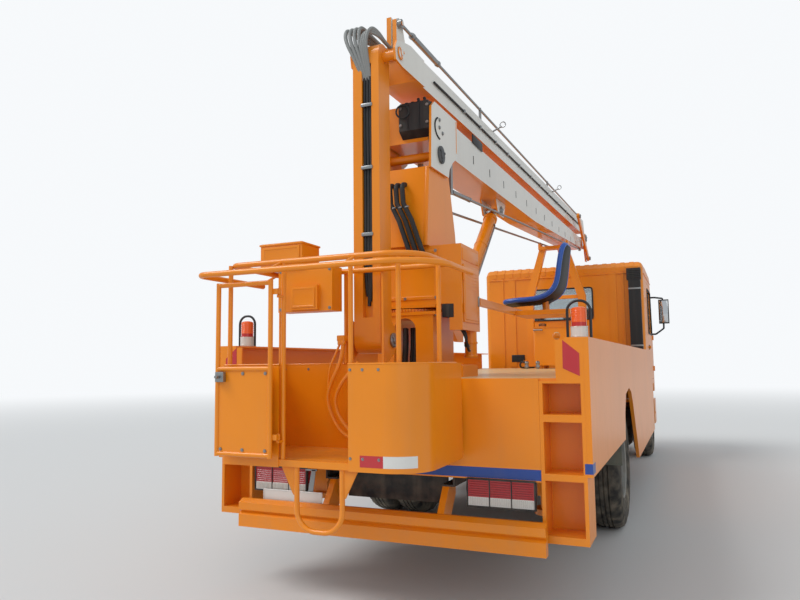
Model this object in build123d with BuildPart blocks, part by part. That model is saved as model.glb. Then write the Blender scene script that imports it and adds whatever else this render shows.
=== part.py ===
# Folding-boom aerial work platform on a two-axle truck.
# Millimetres, +Z up, ground at Z = 0, the cab at the -Y end, the truck's left side at +X.
# Lengths along the truck are told as the distance ahead of the tail plane.
import os
from build123d import *

os.makedirs("parts", exist_ok=True)

# Driving sizes of the truck
TAIL_Y = 3763.5
WIDTH = 2450
HALF = WIDTH / 2
WHEELBASE = 4700
REAR_AXLE = 2450
FRONT_AXLE = REAR_AXLE + WHEELBASE
TYRE_RADIUS = 509
TYRE_WIDTH = 255
RIM_RADIUS = 262
FRONT_WHEEL_X = 1010
REAR_WHEEL_X = (740, 1030)
KINGPIN_X = 850

# Frame and deck
RAIL_X = (350, 430)
RAIL_Z = (700, 920)
DECK_TOP = 1329
DECK_PLATE = 14
DECK_LENGTH = 6100
WALL_TOP = 1551
WALL_THICK = 30

# Cab
CAB_HALF = 1150
CAB_REAR = 6240
CAB_FRONT = 8150
CAB_FLOOR = 1060
CAB_ROOF = 2840
CAB_SKIN = 40
DOOR_Y = (6900, 8010)
DOOR_Z = (1130, 2600)
DOOR_GAP = 8

# Boom pivots, as (distance ahead of the tail, height)
SLEW_AXIS = 555
BOOM_PIN = (540, 2852)
ELBOW_PIN = (7850, 3510)
ARM_PIN = (0, 3360)
BASKET_PIN = (0, 1560)
LIFT_FOOT = (1250, 1640)
LIFT_HEAD = (2600, 2905)
LEVER_PIN = (7700, 3140)
LEVER_TIP = (6750, 3670)
LOWER_HALF = 155
UPPER_HALF = 130
PIN_RADIUS = 32

# Basket, widths along X and depths behind the tail
BASKET_X = (-510, 655)
BASKET_BACK = 660
BASKET_FRONT = 120
BASKET_Z = 885
PANEL_TOP = 1420
RAIL_TOP = 1980
GATE_HINGE_X = 285
GATE_HINGE_BACK = 690
GATE_WIDTH = 344


def ahead(distance):
    """Y of a point this far ahead of the tail plane."""
    return TAIL_Y - distance


def block(x, y, z, mode=Mode.ADD):
    """A box between two X, two Y and two Z limits."""
    centre = ((x[0] + x[1]) / 2, (y[0] + y[1]) / 2, (z[0] + z[1]) / 2)
    with Locations(centre):
        Box(abs(x[1] - x[0]), abs(y[1] - y[0]), abs(z[1] - z[0]), mode=mode)


def side_block(x, distance, z, mode=Mode.ADD):
    """A box whose length along the truck is given ahead of the tail."""
    block(x, (ahead(distance[1]), ahead(distance[0])), z, mode)


def side_face(x, outline):
    """A face in the plane X = x from points (distance ahead, height)."""
    with BuildSketch(Plane.YZ.offset(x)) as face:
        with BuildLine():
            Polyline(*[(ahead(d), z) for d, z in outline], close=True)
        make_face()
    return face.sketch


def side_plate(x, outline, mode=Mode.ADD):
    """A plate between two X planes with a side outline."""
    extrude(side_face(x[0], outline), amount=x[1] - x[0], mode=mode)


def rod(start, end, radius, mode=Mode.ADD):
    """A round bar between two points."""
    line = Vector(*end) - Vector(*start)
    bar = Solid.make_cylinder(radius, line.length, Plane(origin=start, z_dir=line))
    add(bar, mode=mode)


def cross_rod(place, radius, x, mode=Mode.ADD):
    """A round bar along X at (distance ahead, height)."""
    y = ahead(place[0])
    rod((x[0], y, place[1]), (x[1], y, place[1]), radius, mode)


def tube(points, radius, bend):
    """A bent round bar through points."""
    with BuildLine() as path:
        if isinstance(bend, (list, tuple)) or bend:
            FilletPolyline(*points, radius=bend)
        else:
            Polyline(*points)
    start = Plane(origin=path.line @ 0, z_dir=path.line % 0)
    with BuildSketch(start) as ring:
        Circle(radius)
    sweep(ring.sketch, path=path.line)


def save(piece, name):
    """Name a finished piece and write it."""
    piece.part.label = name
    export_step(piece.part, f"parts/{name}.step")


# Ladder frame: two channel rails joined by cross members, with the black flap box at the tail
FRAME_REAR = 60
FRAME_FRONT = 8000
CHANNEL_WALL = 10
CROSS_MEMBERS = (180, 1500, 3300, 4600, 5900, 7900)
with BuildPart() as chassis_frame:
    for side in (-1, 1):
        outer = (side * RAIL_X[0], side * RAIL_X[1])
        side_block(sorted(outer), (FRAME_REAR, FRAME_FRONT), RAIL_Z)
        hollow = sorted((side * (RAIL_X[0] - 1), side * (RAIL_X[1] - CHANNEL_WALL)))
        side_block(hollow, (FRAME_REAR - 1, FRAME_FRONT + 1),
                   (RAIL_Z[0] + CHANNEL_WALL, RAIL_Z[1] - CHANNEL_WALL), Mode.SUBTRACT)
    for place in CROSS_MEMBERS:
        side_block((-RAIL_X[1] + 5, RAIL_X[1] - 5), (place - 40, place + 40), (760, 880))
    side_block((-340, 340), (196, 212), (575, 765))
save(chassis_frame, "chassis_frame")


# Leaf springs: a short stack of arched leaves on each side of an axle
def spring_pack(side, axle, seat, leaves, half_length, mode=Mode.ADD):
    """Arched leaves under a rail, their ends reaching the rail's brackets."""
    for level in range(leaves):
        reach = half_length * (1 - 0.16 * level)
        top = seat + 10 + 13 * (leaves - level)
        rise = 95 * reach / half_length
        outline = [(axle - reach, top + rise), (axle, top), (axle + reach, top + rise),
                   (axle + reach, top + rise - 14), (axle, top - 14), (axle - reach, top + rise - 14)]
        side_plate(sorted((side * 360, side * 425)), outline, mode)


with BuildPart() as front_axle:
    beam = [(-860, 520), (-520, 520), (-430, 440), (430, 440), (520, 520), (860, 520),
            (860, 430), (560, 430), (470, 350), (-470, 350), (-560, 430), (-860, 430)]
    with BuildSketch(Plane.XZ.offset(-ahead(FRONT_AXLE) - 45)) as beam_face:
        with BuildLine():
            Polyline(*beam, close=True)
        make_face()
    extrude(amount=90)
    for side in (-1, 1):
        rod((side * KINGPIN_X, ahead(FRONT_AXLE), 425), (side * KINGPIN_X, ahead(FRONT_AXLE), 525), 48)
        spring_pack(side, FRONT_AXLE, 445, 4, 620)
        side_block(sorted((side * 360, side * 425)), (FRONT_AXLE - 50, FRONT_AXLE + 50), (438, 470))
        for reach in (-620, 620):
            side_block(sorted((side * 365, side * 420)),
                       (FRONT_AXLE + reach - 30, FRONT_AXLE + reach + 30), (560, 699))
save(front_axle, "front_axle")

with BuildPart() as rear_axle:
    centre = ahead(REAR_AXLE)
    with Locations((0, centre, TYRE_RADIUS)):
        Sphere(205)
    rod((-880, centre, TYRE_RADIUS), (880, centre, TYRE_RADIUS), 62)
    rod((0, centre - 250, TYRE_RADIUS), (0, centre, TYRE_RADIUS), 80)
    for side in (-1, 1):
        side_block(sorted((side * 350, side * 435)), (REAR_AXLE - 60, REAR_AXLE + 60), (500, 600))
        spring_pack(side, REAR_AXLE, 515, 5, 650)
        for reach in (-650, 650):
            side_block(sorted((side * 365, side * 420)),
                       (REAR_AXLE + reach - 30, REAR_AXLE + reach + 30), (655, 699.5))
save(rear_axle, "rear_axle")

with BuildPart() as engine_block:
    side_block((-300, 300), (6700, 7700), (600, 1000))
    side_block((-170, 170), (6150, 6705), (620, 900))
    rod((0, ahead(6160), 720), (0, ahead(REAR_AXLE + 262), TYRE_RADIUS + 20), 45)
save(engine_block, "engine_block")

# Fuel tank and two air tanks between the axles, hung outside the rails
with BuildPart() as fuel_tank:
    side_block((-1080, -560), (4200, 5200), (480, 900))
    fillet(fuel_tank.edges().filter_by(Axis.Y), 60)
    side_block((-565, -431), (4400, 4460), (740, 860))
    side_block((-565, -431), (4940, 5000), (740, 860))
    for height in (600, 850):
        rod((640, ahead(5200), height), (640, ahead(4300), height), 105)
    for place in (4500, 5000):
        side_block((431, 720), (place - 20, place + 20), (560, 900))
save(fuel_tank, "fuel_tank")

# Front bumper with step wings, hollowed behind
with BuildPart() as front_bumper:
    side_block((-CAB_HALF, CAB_HALF), (7780, 8300), (420, 800))
    fillet(front_bumper.edges().filter_by(Axis.Z).group_by(Axis.Y)[0], 120)
    side_block((-CAB_HALF + 60, CAB_HALF - 60), (7700, 8220), (400, 760), Mode.SUBTRACT)
    side_block((-440, 440), (7770, 8000.5), (690, 810), Mode.SUBTRACT)
    for side in (-1, 1):
        side_block(sorted((side * 360, side * 420)), (8001, 8230), (705, 770))
        side_block(sorted((side * (CAB_HALF + 5), side * (CAB_HALF - 200))), (7860, 8000), (560, 600),
                   Mode.SUBTRACT)
save(front_bumper, "front_bumper")

# Cab shell: one side outline drawn across the width, hollowed, with its door and window openings
CAB_SIDE = [(CAB_REAR, CAB_FLOOR), (CAB_REAR, 2760), (CAB_REAR + 80, CAB_ROOF - 10),
            (6900, CAB_ROOF), (7820, CAB_ROOF - 30), (7960, 2740), (8125, 1980),
            (CAB_FRONT, 1800), (CAB_FRONT, CAB_FLOOR - 130), (7800, CAB_FLOOR - 130), (7790, CAB_FLOOR)]
CAB_INNER = [(CAB_REAR + CAB_SKIN, CAB_FLOOR + 60), (CAB_REAR + CAB_SKIN, 2740),
             (CAB_REAR + 100, CAB_ROOF - 55), (6900, CAB_ROOF - 45), (7800, CAB_ROOF - 75),
             (7915, 2715), (8080, 1970), (CAB_FRONT - 45, 1790), (CAB_FRONT - 45, CAB_FLOOR + 60)]
DOOR_OUTLINE = [(DOOR_Y[0], DOOR_Z[0]), (DOOR_Y[0], DOOR_Z[1]), (7870, DOOR_Z[1]), (DOOR_Y[1], 1960),
                (DOOR_Y[1], DOOR_Z[0])]
REAR_WINDOW_X = 450
REAR_WINDOW_Z = (2030, 2490)
ROOF_RIB = [(6234, 2700), (6234, 2763), (6318, 2836), (6900, 2846), (7700, 2820), (7700, 2800), (6900, 2800),
            (6330, 2800), (6250, 2740), (6250, 2700)]
SCREEN_X = 1000
with BuildPart() as cab_shell:
    side_plate((-CAB_HALF, CAB_HALF), CAB_SIDE)
    corners = cab_shell.edges().filter_by(lambda e: abs(abs(e.center().X) - CAB_HALF) < 1 and e.center().Z > 1200)
    fillet(corners, 70)
    side_plate((-CAB_HALF + CAB_SKIN, CAB_HALF - CAB_SKIN), CAB_INNER, Mode.SUBTRACT)
    for side in (-1, 1):
        reach = sorted((side * (CAB_HALF - CAB_SKIN - 10), side * (CAB_HALF + 10)))
        side_plate(reach, DOOR_OUTLINE, Mode.SUBTRACT)
    rear_y = ahead(CAB_REAR)
    block((-REAR_WINDOW_X, REAR_WINDOW_X), (rear_y - 60, rear_y + 10), REAR_WINDOW_Z, Mode.SUBTRACT)
    screen = [(7700, 2680), (8200, 2680), (8200, 1960), (7700, 1960)]
    side_plate((-SCREEN_X, SCREEN_X), screen, Mode.SUBTRACT)
    for side in (-1, 1):
        for rib in ((685, 787), (865, 892)):
            block(sorted((side * rib[0], side * rib[1])), (rear_y - 1, rear_y + 10), (1350, 2690))
    for rib in range(-8, 9):
        side_plate((rib * 125 - 30, rib * 125 + 30), ROOF_RIB)
save(cab_shell, "cab_shell")

# Doors: one panel each, window cut, hung on their front edge
DOOR_HINGE = (CAB_HALF + 12, 8006)
DOOR_HINGE_Z = (1250, 1750)
DOOR_WINDOW = [(7010, 1830), (7010, 2510), (7800, 2510), (7925, 1950), (7925, 1830)]
for name, side in (("cab_door_left", 1), ("cab_door_right", -1)):
    with BuildPart() as door:
        shrunk = offset(side_face(side * (CAB_HALF - CAB_SKIN), DOOR_OUTLINE), amount=-DOOR_GAP,
                        kind=Kind.INTERSECTION, mode=Mode.PRIVATE)
        extrude(shrunk, amount=side * CAB_SKIN)
        side_plate(sorted((side * (CAB_HALF - 60), side * (CAB_HALF + 20))), DOOR_WINDOW, Mode.SUBTRACT)
        side_block(sorted((side * (CAB_HALF - 1), side * (CAB_HALF + 30))), (6990, 7150), (1600, 1640))
        for low in DOOR_HINGE_Z:
            hinge_x = side * DOOR_HINGE[0]
            hinge_y = ahead(DOOR_HINGE[1])
            rod((hinge_x, hinge_y, low), (hinge_x, hinge_y, low + 80), 9)
            side_block(sorted((side * (CAB_HALF - 0.5), side * (DOOR_HINGE[0] + 4))),
                       (DOOR_HINGE[1] - 46, DOOR_HINGE[1]), (low + 10, low + 70))
    save(door, name)

with BuildPart() as cab_glass:
    glass_y = ahead(CAB_REAR) - 22
    block((-REAR_WINDOW_X + 2, REAR_WINDOW_X - 2), (glass_y, glass_y + 6),
          (REAR_WINDOW_Z[0] + 2, REAR_WINDOW_Z[1] - 2))
    side_plate((-SCREEN_X + 2, SCREEN_X - 2),
               [(8105, 1962), (7948, 2678), (7942, 2678), (8099, 1962)])
save(cab_glass, "cab_glass")

# Seats, dashboard and steering wheel, seen through the glass
with BuildPart() as cab_interior:
    for seat_x in (560, -400):
        wide = 250 if seat_x > 0 else 420
        side_block((seat_x - wide, seat_x + wide), (6520, 7060), (1122, 1500))
        side_plate((seat_x - wide, seat_x + wide),
                   [(6440, 2200), (6560, 2200), (6700, 1490), (6520, 1490)])
    side_block((-1050, 1050), (7800, 8060), (1125, 1880))
    rod((560, ahead(7850), 1700), (560, ahead(7560), 1930), 25)
    with Locations(Location((560, ahead(7560), 1930), (-55, 0, 0))):
        Torus(210, 16)
    rod((350, ahead(7560), 1930), (770, ahead(7560), 1930), 14)
save(cab_interior, "cab_interior")

# Front grille: slotted panel under the screen; headlamps in the bumper
with BuildPart() as front_grille:
    side_block((-700, 700), (CAB_FRONT + 0.5, CAB_FRONT + 30), (1150, 1600))
    for slot in range(5):
        side_block((-640, 640), (CAB_FRONT + 12, CAB_FRONT + 31), (1190 + 80 * slot, 1230 + 80 * slot),
                   Mode.SUBTRACT)
save(front_grille, "front_grille")

with BuildPart() as headlamps:
    for side in (-1, 1):
        side_block(sorted((side * 640, side * 960)), (8300.5, 8318), (520, 700))
save(headlamps, "headlamps")

# Mirrors on the screen pillars and the air intake at the cab's right rear corner
with BuildPart() as cab_fittings:
    for side in (-1, 1):
        head_y = ahead(8140)
        top_y = ahead(7960)
        foot_y = ahead(8040)
        tube([(side * 1151, top_y, 2450), (side * 1210, top_y, 2450), (side * 1330, head_y - 60, 2450),
              (side * 1330, head_y - 60, 1950), (side * 1210, foot_y, 1850), (side * 1151, foot_y, 1850)], 14, 30)
        block(sorted((side * 1260, side * 1420)), (head_y - 100, head_y - 40), (2030, 2430))
    side_block((-1120, -960), (6110, 6222), (1340, 2560))
    side_block((-1130, -940), (6105, 6222), (2560, 2720))
    for height in (1500, 2300):
        side_block((-1080, -1000), (6220, 6239.5), (height, height + 60))
save(cab_fittings, "cab_fittings")

# Deck plate on cross beams and two long bearers over the rails
with BuildPart() as deck:
    side_block((-HALF + WALL_THICK, HALF - WALL_THICK), (12, DECK_LENGTH),
               (DECK_TOP - DECK_PLATE, DECK_TOP))
    for side in (-1, 1):
        side_block(sorted((side * RAIL_X[0], side * RAIL_X[1])), (100, DECK_LENGTH),
                   (RAIL_Z[1], DECK_TOP - DECK_PLATE))
    for beam_number in range(8):
        place = 330 + beam_number * 780
        side_block((-HALF + WALL_THICK + 5, HALF - WALL_THICK - 5), (place, place + 60),
                   (1180, DECK_TOP - DECK_PLATE))
    side_block((-390, -255), (380, 700), (DECK_TOP, 1405))
    stand_y = ahead(2600)
    for reach in (-60, 60):
        rod((-580, stand_y + reach, DECK_TOP - 5), (-580, stand_y, 1640), 11)
    with Locations((-580, stand_y, 1660)):
        Sphere(36)
save(deck, "deck")

# Oil tank on four feet between the lift cylinder and the boom's rest
TANK_X = (-500, 160)
TANK_PLACE = (5000, 5550)
TANK_Z = (1372, 1862)
with BuildPart() as oil_tank:
    side_block(TANK_X, TANK_PLACE, TANK_Z)
    fillet(oil_tank.edges().filter_by(Axis.Z), 25)
    side_block((TANK_X[0] - 8, TANK_X[1] + 8), (TANK_PLACE[0] - 8, TANK_PLACE[1] + 8), (TANK_Z[1], TANK_Z[1] + 8))
    for x in (TANK_X[0] + 60, TANK_X[1] - 60):
        for place in (TANK_PLACE[0] + 60, TANK_PLACE[1] - 60):
            side_block((x - 30, x + 30), (place - 30, place + 30), (DECK_TOP, TANK_Z[0]))
    rod((60, ahead(5120), TANK_Z[1]), (60, ahead(5120), TANK_Z[1] + 60), 45)
save(oil_tank, "oil_tank")

# Mud flaps hung from the deck's beam behind the rear tyres
with BuildPart() as mud_flaps:
    for side in (-1, 1):
        across = sorted((side * 620, side * 1190))
        side_block(across, (1881, 1889), (600, 1250))
        side_block(across, (1869, 1881), (1150, 1190))
save(mud_flaps, "mud_flaps")

# Side walls with the rear wheel arch, each carrying a beacon's guard hoop near the tail
WALL_OUTLINE = [(0, 805), (1880, 805), (1930, 1010), (2060, 1150), (2350, 1190), (2560, 1150),
                (2680, 1060), (3200, 490), (DECK_LENGTH, 490), (DECK_LENGTH, WALL_TOP), (0, WALL_TOP)]
BEACON_PLACE = 200
for name, side in (("side_wall_left", 1), ("side_wall_right", -1)):
    with BuildPart() as wall:
        side_plate(sorted((side * HALF, side * (HALF - WALL_THICK))), WALL_OUTLINE)
        side_block(sorted((side * HALF, side * (HALF - 130))), (0, DECK_LENGTH), (WALL_TOP - 12, WALL_TOP))
        hoop_y = ahead(BEACON_PLACE)
        hoop_x = side * (HALF - 75)
        tube([(hoop_x - 65, hoop_y, WALL_TOP - 5), (hoop_x - 65, hoop_y, WALL_TOP + 215),
              (hoop_x + 65, hoop_y, WALL_TOP + 215), (hoop_x + 65, hoop_y, WALL_TOP - 5)], 8, 60)
    save(wall, name)

with BuildPart() as beacons:
    for side in (-1, 1):
        base = (side * (HALF - 75), ahead(BEACON_PLACE), WALL_TOP)
        with Locations(base):
            Cylinder(48, 70, align=(Align.CENTER, Align.CENTER, Align.MIN))
            Cylinder(42, 170, align=(Align.CENTER, Align.CENTER, Align.MIN))
save(beacons, "beacons")

# Tail corner frames: open-faced step boxes with cross steps
FRAME_X = (950, HALF - WALL_THICK)
STEP_POCKETS = ((488, 778), (815, 1092), (1132, 1301))
with BuildPart() as tail_frames:
    for side in (-1, 1):
        span = sorted((side * FRAME_X[0], side * FRAME_X[1]))
        side_block(span, (0, 250), (448, 1314))
        side_block(span, (-1, 12), (448, WALL_TOP - 12))
        for low, high in STEP_POCKETS:
            pocket = sorted((side * (FRAME_X[0] + 20), side * (FRAME_X[1] - 20)))
            side_block(pocket, (-2, 180), (low, high), Mode.SUBTRACT)
        side_block(sorted((side * 900, side * (HALF - 180))), (-2, 13), (1315, WALL_TOP + 1), Mode.SUBTRACT)
save(tail_frames, "tail_frames")

with BuildPart() as rear_panel:
    side_block((-949, 949), (0, 12), (765, DECK_TOP))
    side_block((-949, 949), (0, 60), (765, 777))
save(rear_panel, "rear_panel")

# Underrun guard: folded section on two drop brackets
GUARD_HALF = 983
with BuildPart() as underrun_guard:
    fold = [(-97, 395), (-97, 470), (-75, 485), (-97, 500), (-97, 545), (-60, 565), (-40, 565), (-40, 395)]
    side_plate((-GUARD_HALF, GUARD_HALF), fold)
    for side in (-1, 1):
        side_plate(sorted((side * 355, side * 395)),
                   [(-41, 400), (-41, 560), (60, 699.5), (180, 699.5), (180, 640), (40, 470), (0, 400)])
save(underrun_guard, "underrun_guard")

with BuildPart() as tail_lamps:
    for side in (-1, 1):
        side_block(sorted((side * 535, side * 910)), (-12, 50), (620, 762))
save(tail_lamps, "tail_lamps")

# Boom rest behind the cab: two legs kinked inwards to a saddle
REST_PLACE = 5800
REST_TOP = 3062
with BuildPart() as boom_rest:
    y = ahead(REST_PLACE)
    for side in (-1, 1):
        side_block(sorted((side * 315, side * 415)), (REST_PLACE - 50, REST_PLACE + 50), (DECK_TOP, 2340))
        with BuildSketch(Plane.XZ.offset(-y - 40)) as leg:
            with BuildLine():
                Polyline((side * 415, 2300), (side * 415, 2345), (side * 200, REST_TOP - 30),
                         (side * 110, REST_TOP - 30), (side * 315, 2300), close=True)
            make_face()
        extrude(amount=80)
    side_block((-330, 330), (REST_PLACE - 25, REST_PLACE + 25), (2300, 2350))
    side_block((-210, 210), (REST_PLACE - 70, REST_PLACE + 70), (REST_TOP - 45, REST_TOP))
    for side in (-1, 1):
        side_block(sorted((side * 175, side * 210)), (REST_PLACE - 70, REST_PLACE + 70), (REST_TOP, REST_TOP + 60))
save(boom_rest, "boom_rest")

# Pedestal with an arched opening front to rear, its flange and the fixed slewing ring
ARCH_HALF = 78
with BuildPart() as pedestal:
    side_block((-200, 200), (SLEW_AXIS - 200, SLEW_AXIS + 200), (DECK_TOP, 1735))
    with BuildSketch(Plane.XZ.offset(-ahead(SLEW_AXIS - 260))) as arch:
        with Locations((0, DECK_TOP + 155)):
            Rectangle(2 * ARCH_HALF, 310)
        with Locations((0, DECK_TOP + 310)):
            Circle(ARCH_HALF)
    extrude(amount=520, mode=Mode.SUBTRACT)
    side_block((-220, 220), (SLEW_AXIS - 208, SLEW_AXIS + 208), (1735, 1757))
    with Locations((0, ahead(SLEW_AXIS), 1757)):
        Cylinder(205, 20, align=(Align.CENTER, Align.CENTER, Align.MIN))
save(pedestal, "pedestal")

# Outrigger housings: cross tubes over the rails with upright sleeves; each jack slides in its sleeve
JACKS = {"jack_front_left": (1060, 5600), "jack_front_right": (-1060, 5600),
         "jack_rear_left": (850, 760), "jack_rear_right": (-850, 760)}
SLEEVE = 75
JACK_HALF = 58
with BuildPart() as outrigger_housings:
    for place, reach in ((5600, 1060), (760, 850)):
        side_block((-reach, reach), (place - 60, place + 60), (925, 1075))
        for side in (-1, 1):
            side_block(sorted((side * RAIL_X[0], side * RAIL_X[1])), (place - 90, place + 90),
                       (920, 1080), Mode.SUBTRACT)
    for x, place in JACKS.values():
        side_block((x - SLEEVE, x + SLEEVE), (place - SLEEVE, place + SLEEVE), (560, 1150))
        side_block((x - JACK_HALF - 6, x + JACK_HALF + 6), (place - JACK_HALF - 6, place + JACK_HALF + 6),
                   (550, 1135), Mode.SUBTRACT)
save(outrigger_housings, "outrigger_housings")

for name, (x, place) in JACKS.items():
    with BuildPart() as jack:
        side_block((x - JACK_HALF, x + JACK_HALF), (place - JACK_HALF, place + JACK_HALF), (475, 1125))
        with Locations((x, ahead(place), 440)):
            Cylinder(110, 35, align=(Align.CENTER, Align.CENTER, Align.MIN))
    save(jack, name)

# Wheels: each tyre is a many-sided ring lofted along the axle, on a dished disc wheel with hand holes
TYRE_SIDES = 48
TYRE_HALF = TYRE_WIDTH / 2
TYRE_OUTSIDE = ((-TYRE_HALF, 430), (-TYRE_HALF + 22, 492), (-TYRE_HALF + 60, TYRE_RADIUS),
                (TYRE_HALF - 60, TYRE_RADIUS), (TYRE_HALF - 22, 492), (TYRE_HALF, 430))
TYRE_INSIDE = ((-TYRE_HALF, 350), (-TYRE_HALF + 18, RIM_RADIUS + 2), (TYRE_HALF - 18, RIM_RADIUS + 2),
               (TYRE_HALF, 350))
HAND_HOLES = 10


def many_sided(x, place, profile, mode=Mode.ADD):
    """A solid lofted along X through regular polygons, from (offset, radius) rows."""
    faces = []
    for shift, radius in profile:
        with BuildSketch(Plane.YZ.offset(x + shift)) as polygon:
            with Locations((ahead(place), TYRE_RADIUS)):
                RegularPolygon(radius, TYRE_SIDES)
        faces.append(polygon.sketch)
    loft(faces, ruled=True, mode=mode)


def axle_line(place):
    return Axis((0, ahead(place), TYRE_RADIUS), (1, 0, 0))


WHEELS = (("front", "left", 1, FRONT_AXLE, (FRONT_WHEEL_X,)), ("front", "right", -1, FRONT_AXLE, (FRONT_WHEEL_X,)),
          ("rear", "left", 1, REAR_AXLE, REAR_WHEEL_X), ("rear", "right", -1, REAR_AXLE, REAR_WHEEL_X))
for end, hand, side, place, rows in WHEELS:
    with BuildPart() as tyre:
        for x in rows:
            many_sided(side * x, place, TYRE_OUTSIDE)
        for x in rows:
            many_sided(side * x, place, TYRE_INSIDE, Mode.SUBTRACT)
    save(tyre, f"tyre_{end}_{hand}")
    with BuildPart() as rim:
        for row, x in enumerate(rows):
            half = TYRE_WIDTH / 2 - 20
            outline = [(side * x - half, 262), (side * x + half, 262), (side * x + half, 240),
                       (side * x - half, 240)]
            with BuildSketch(Plane.XZ.offset(-ahead(place))) as barrel:
                with BuildLine():
                    Polyline(*[(a, TYRE_RADIUS + r) for a, r in outline], close=True)
                make_face()
            revolve(barrel.sketch, axle_line(place))
        disc_x = side * (rows[0] + 60) if len(rows) == 1 else side * (rows[0] + 145)
        disc = [(disc_x - 12, 95), (disc_x + 12, 95), (disc_x + 12, 250), (disc_x - 12, 250)]
        hub_in = side * 942 if len(rows) == 1 else side * 890
        hub_out = side * 1125 if len(rows) == 1 else side * 1060
        with BuildSketch(Plane.XZ.offset(-ahead(place))) as face:
            with BuildLine():
                Polyline(*[(a, TYRE_RADIUS + r) for a, r in disc], close=True)
            make_face()
        revolve(face.sketch, axle_line(place))
        with Locations(Plane(origin=(disc_x, ahead(place), TYRE_RADIUS), x_dir=(0, 1, 0), z_dir=(1, 0, 0))):
            with PolarLocations(188, HAND_HOLES):
                Cylinder(24, 60, mode=Mode.SUBTRACT)
        rod((hub_in, ahead(place), TYRE_RADIUS), (hub_out, ahead(place), TYRE_RADIUS), 100)
        if len(rows) == 2:
            inner, outer = side * (rows[0] + 100), side * (rows[0] + 190)
            ring_in = [(inner, 228), (outer, 228), (outer, 250), (inner, 250)]
            with BuildSketch(Plane.XZ.offset(-ahead(place))) as spacer:
                with BuildLine():
                    Polyline(*[(p, TYRE_RADIUS + r) for p, r in ring_in], close=True)
                make_face()
            revolve(spacer.sketch, axle_line(place))
    save(rim, f"rim_{end}_{hand}")

# Steering knuckles: fork round the beam's end with the stub axle
for name, side in (("knuckle_left", 1), ("knuckle_right", -1)):
    with BuildPart() as knuckle:
        y = ahead(FRONT_AXLE)
        block(sorted((side * 905, side * 932)), (y - 60, y + 60), (375, 575))
        for low in (375, 533):
            block(sorted((side * KINGPIN_X, side * 932)), (y - 48, y + 48), (low, low + 42))
            rod((side * KINGPIN_X, y, low), (side * KINGPIN_X, y, low + 42), 48)
    save(knuckle, name)

# Turntable: base plate, machinery box with a deeper right side, and the tapered tower
with BuildPart() as turntable:
    side_block((-220, 220), (SLEW_AXIS - 208, SLEW_AXIS + 208), (1782, 1802))
    side_block((-400, 250), (360, 740), (1802, 2190))
    side_block((-400, -312), (360, 740), (1630, 1810))
    tower = [(316, 2190), (905, 2190), (880, 2350), (755, 2765), (690, 2930), (600, 2985), (500, 2985),
             (450, 2860), (440, 2740), (374, 2735)]
    side_plate((-185, 185), tower)
    side_plate((-165, 165), [(345, 2220), (880, 2220), (740, 2750), (740, 3050), (384, 3050), (384, 2700)],
               Mode.SUBTRACT)
    side_plate((-165, 165), [(700, 2740), (1000, 2740), (1000, 3050), (700, 3050)], Mode.SUBTRACT)
    cross_rod(BOOM_PIN, PIN_RADIUS + 1, (-190, 190), Mode.SUBTRACT)
    foot_plate = [(735, 1802), (870, 1802), (1180, 1580), (1310, 1580), (1320, 1690), (1000, 2050), (735, 2190)]
    side_plate((-90, -60), foot_plate)
    side_plate((60, 90), foot_plate)
    cross_rod(LIFT_FOOT, 25, (-90, 90))
    side_block((-860, -400), (1700, 2200), (1802, 1840))
    side_block((-420, -380), (700, 2200), (1810, 1860))
    rod((-620, ahead(1950), 1835), (-620, ahead(1950), 1938), 30)
    rod((-357, ahead(660), 1458), (-357, ahead(660), 1640), 41)
save(turntable, "turntable")

# Operator's seat: one moulded shell, back upright on the outer side, its corners rounded in two views
SEAT_PLACE = 1950
with BuildPart() as operator_seat:
    shell = [(-300, 1975), (-560, 1950), (-680, 1935), (-780, 2000), (-830, 2200), (-840, 2420), (-805, 2430),
             (-770, 2220), (-700, 2060), (-640, 2020), (-560, 2000), (-300, 2000)]
    with BuildSketch(Plane.XZ.offset(-ahead(SEAT_PLACE - 200))) as seat_side:
        with BuildLine():
            Polyline(*shell, close=True)
        make_face()
    extrude(amount=400)
    with BuildSketch(Plane.YZ.offset(-900)) as back_view:
        with BuildLine():
            FilletPolyline((ahead(SEAT_PLACE - 200), 1900), (ahead(SEAT_PLACE + 200), 1900),
                           (ahead(SEAT_PLACE + 200), 2080), (ahead(SEAT_PLACE + 160), 2435),
                           (ahead(SEAT_PLACE - 160), 2435), (ahead(SEAT_PLACE - 200), 2080),
                           radius=(1, 90, 70, 70, 90, 1), close=True)
        make_face()
    extrude(amount=700, mode=Mode.INTERSECT)
    with BuildSketch(Plane.XY.offset(1900)) as top_view:
        with BuildLine():
            FilletPolyline((-900, ahead(SEAT_PLACE - 201)), (-900, ahead(SEAT_PLACE + 201)),
                           (-300, ahead(SEAT_PLACE + 201)), (-300, ahead(SEAT_PLACE - 201)),
                           radius=(1, 1, 60, 60), close=True)
        make_face()
    extrude(amount=600, mode=Mode.INTERSECT)
save(operator_seat, "operator_seat")

# Lift cylinder of the lower boom
def along(start, end, share):
    return (start[0] + (end[0] - start[0]) * share, start[1] + (end[1] - start[1]) * share)


def link_point(place, x=0):
    return (x, ahead(place[0]), place[1])


# The rod's head is a saddle, open at the top, that the boom's pin rests in
EYE_HALF = 58
with BuildPart() as lift_barrel:
    rod(link_point(along(LIFT_FOOT, LIFT_HEAD, 0.02)), link_point(along(LIFT_FOOT, LIFT_HEAD, 0.93)), 58)
    cross_rod(LIFT_FOOT, 55, (-55, 55))
    rod(link_point(along(LIFT_FOOT, LIFT_HEAD, 0.05)), link_point(along(LIFT_FOOT, LIFT_HEAD, 0.94)), 34,
        Mode.SUBTRACT)
    cross_rod(LIFT_FOOT, 26, (-60, 60), Mode.SUBTRACT)
save(lift_barrel, "lift_barrel")

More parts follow.
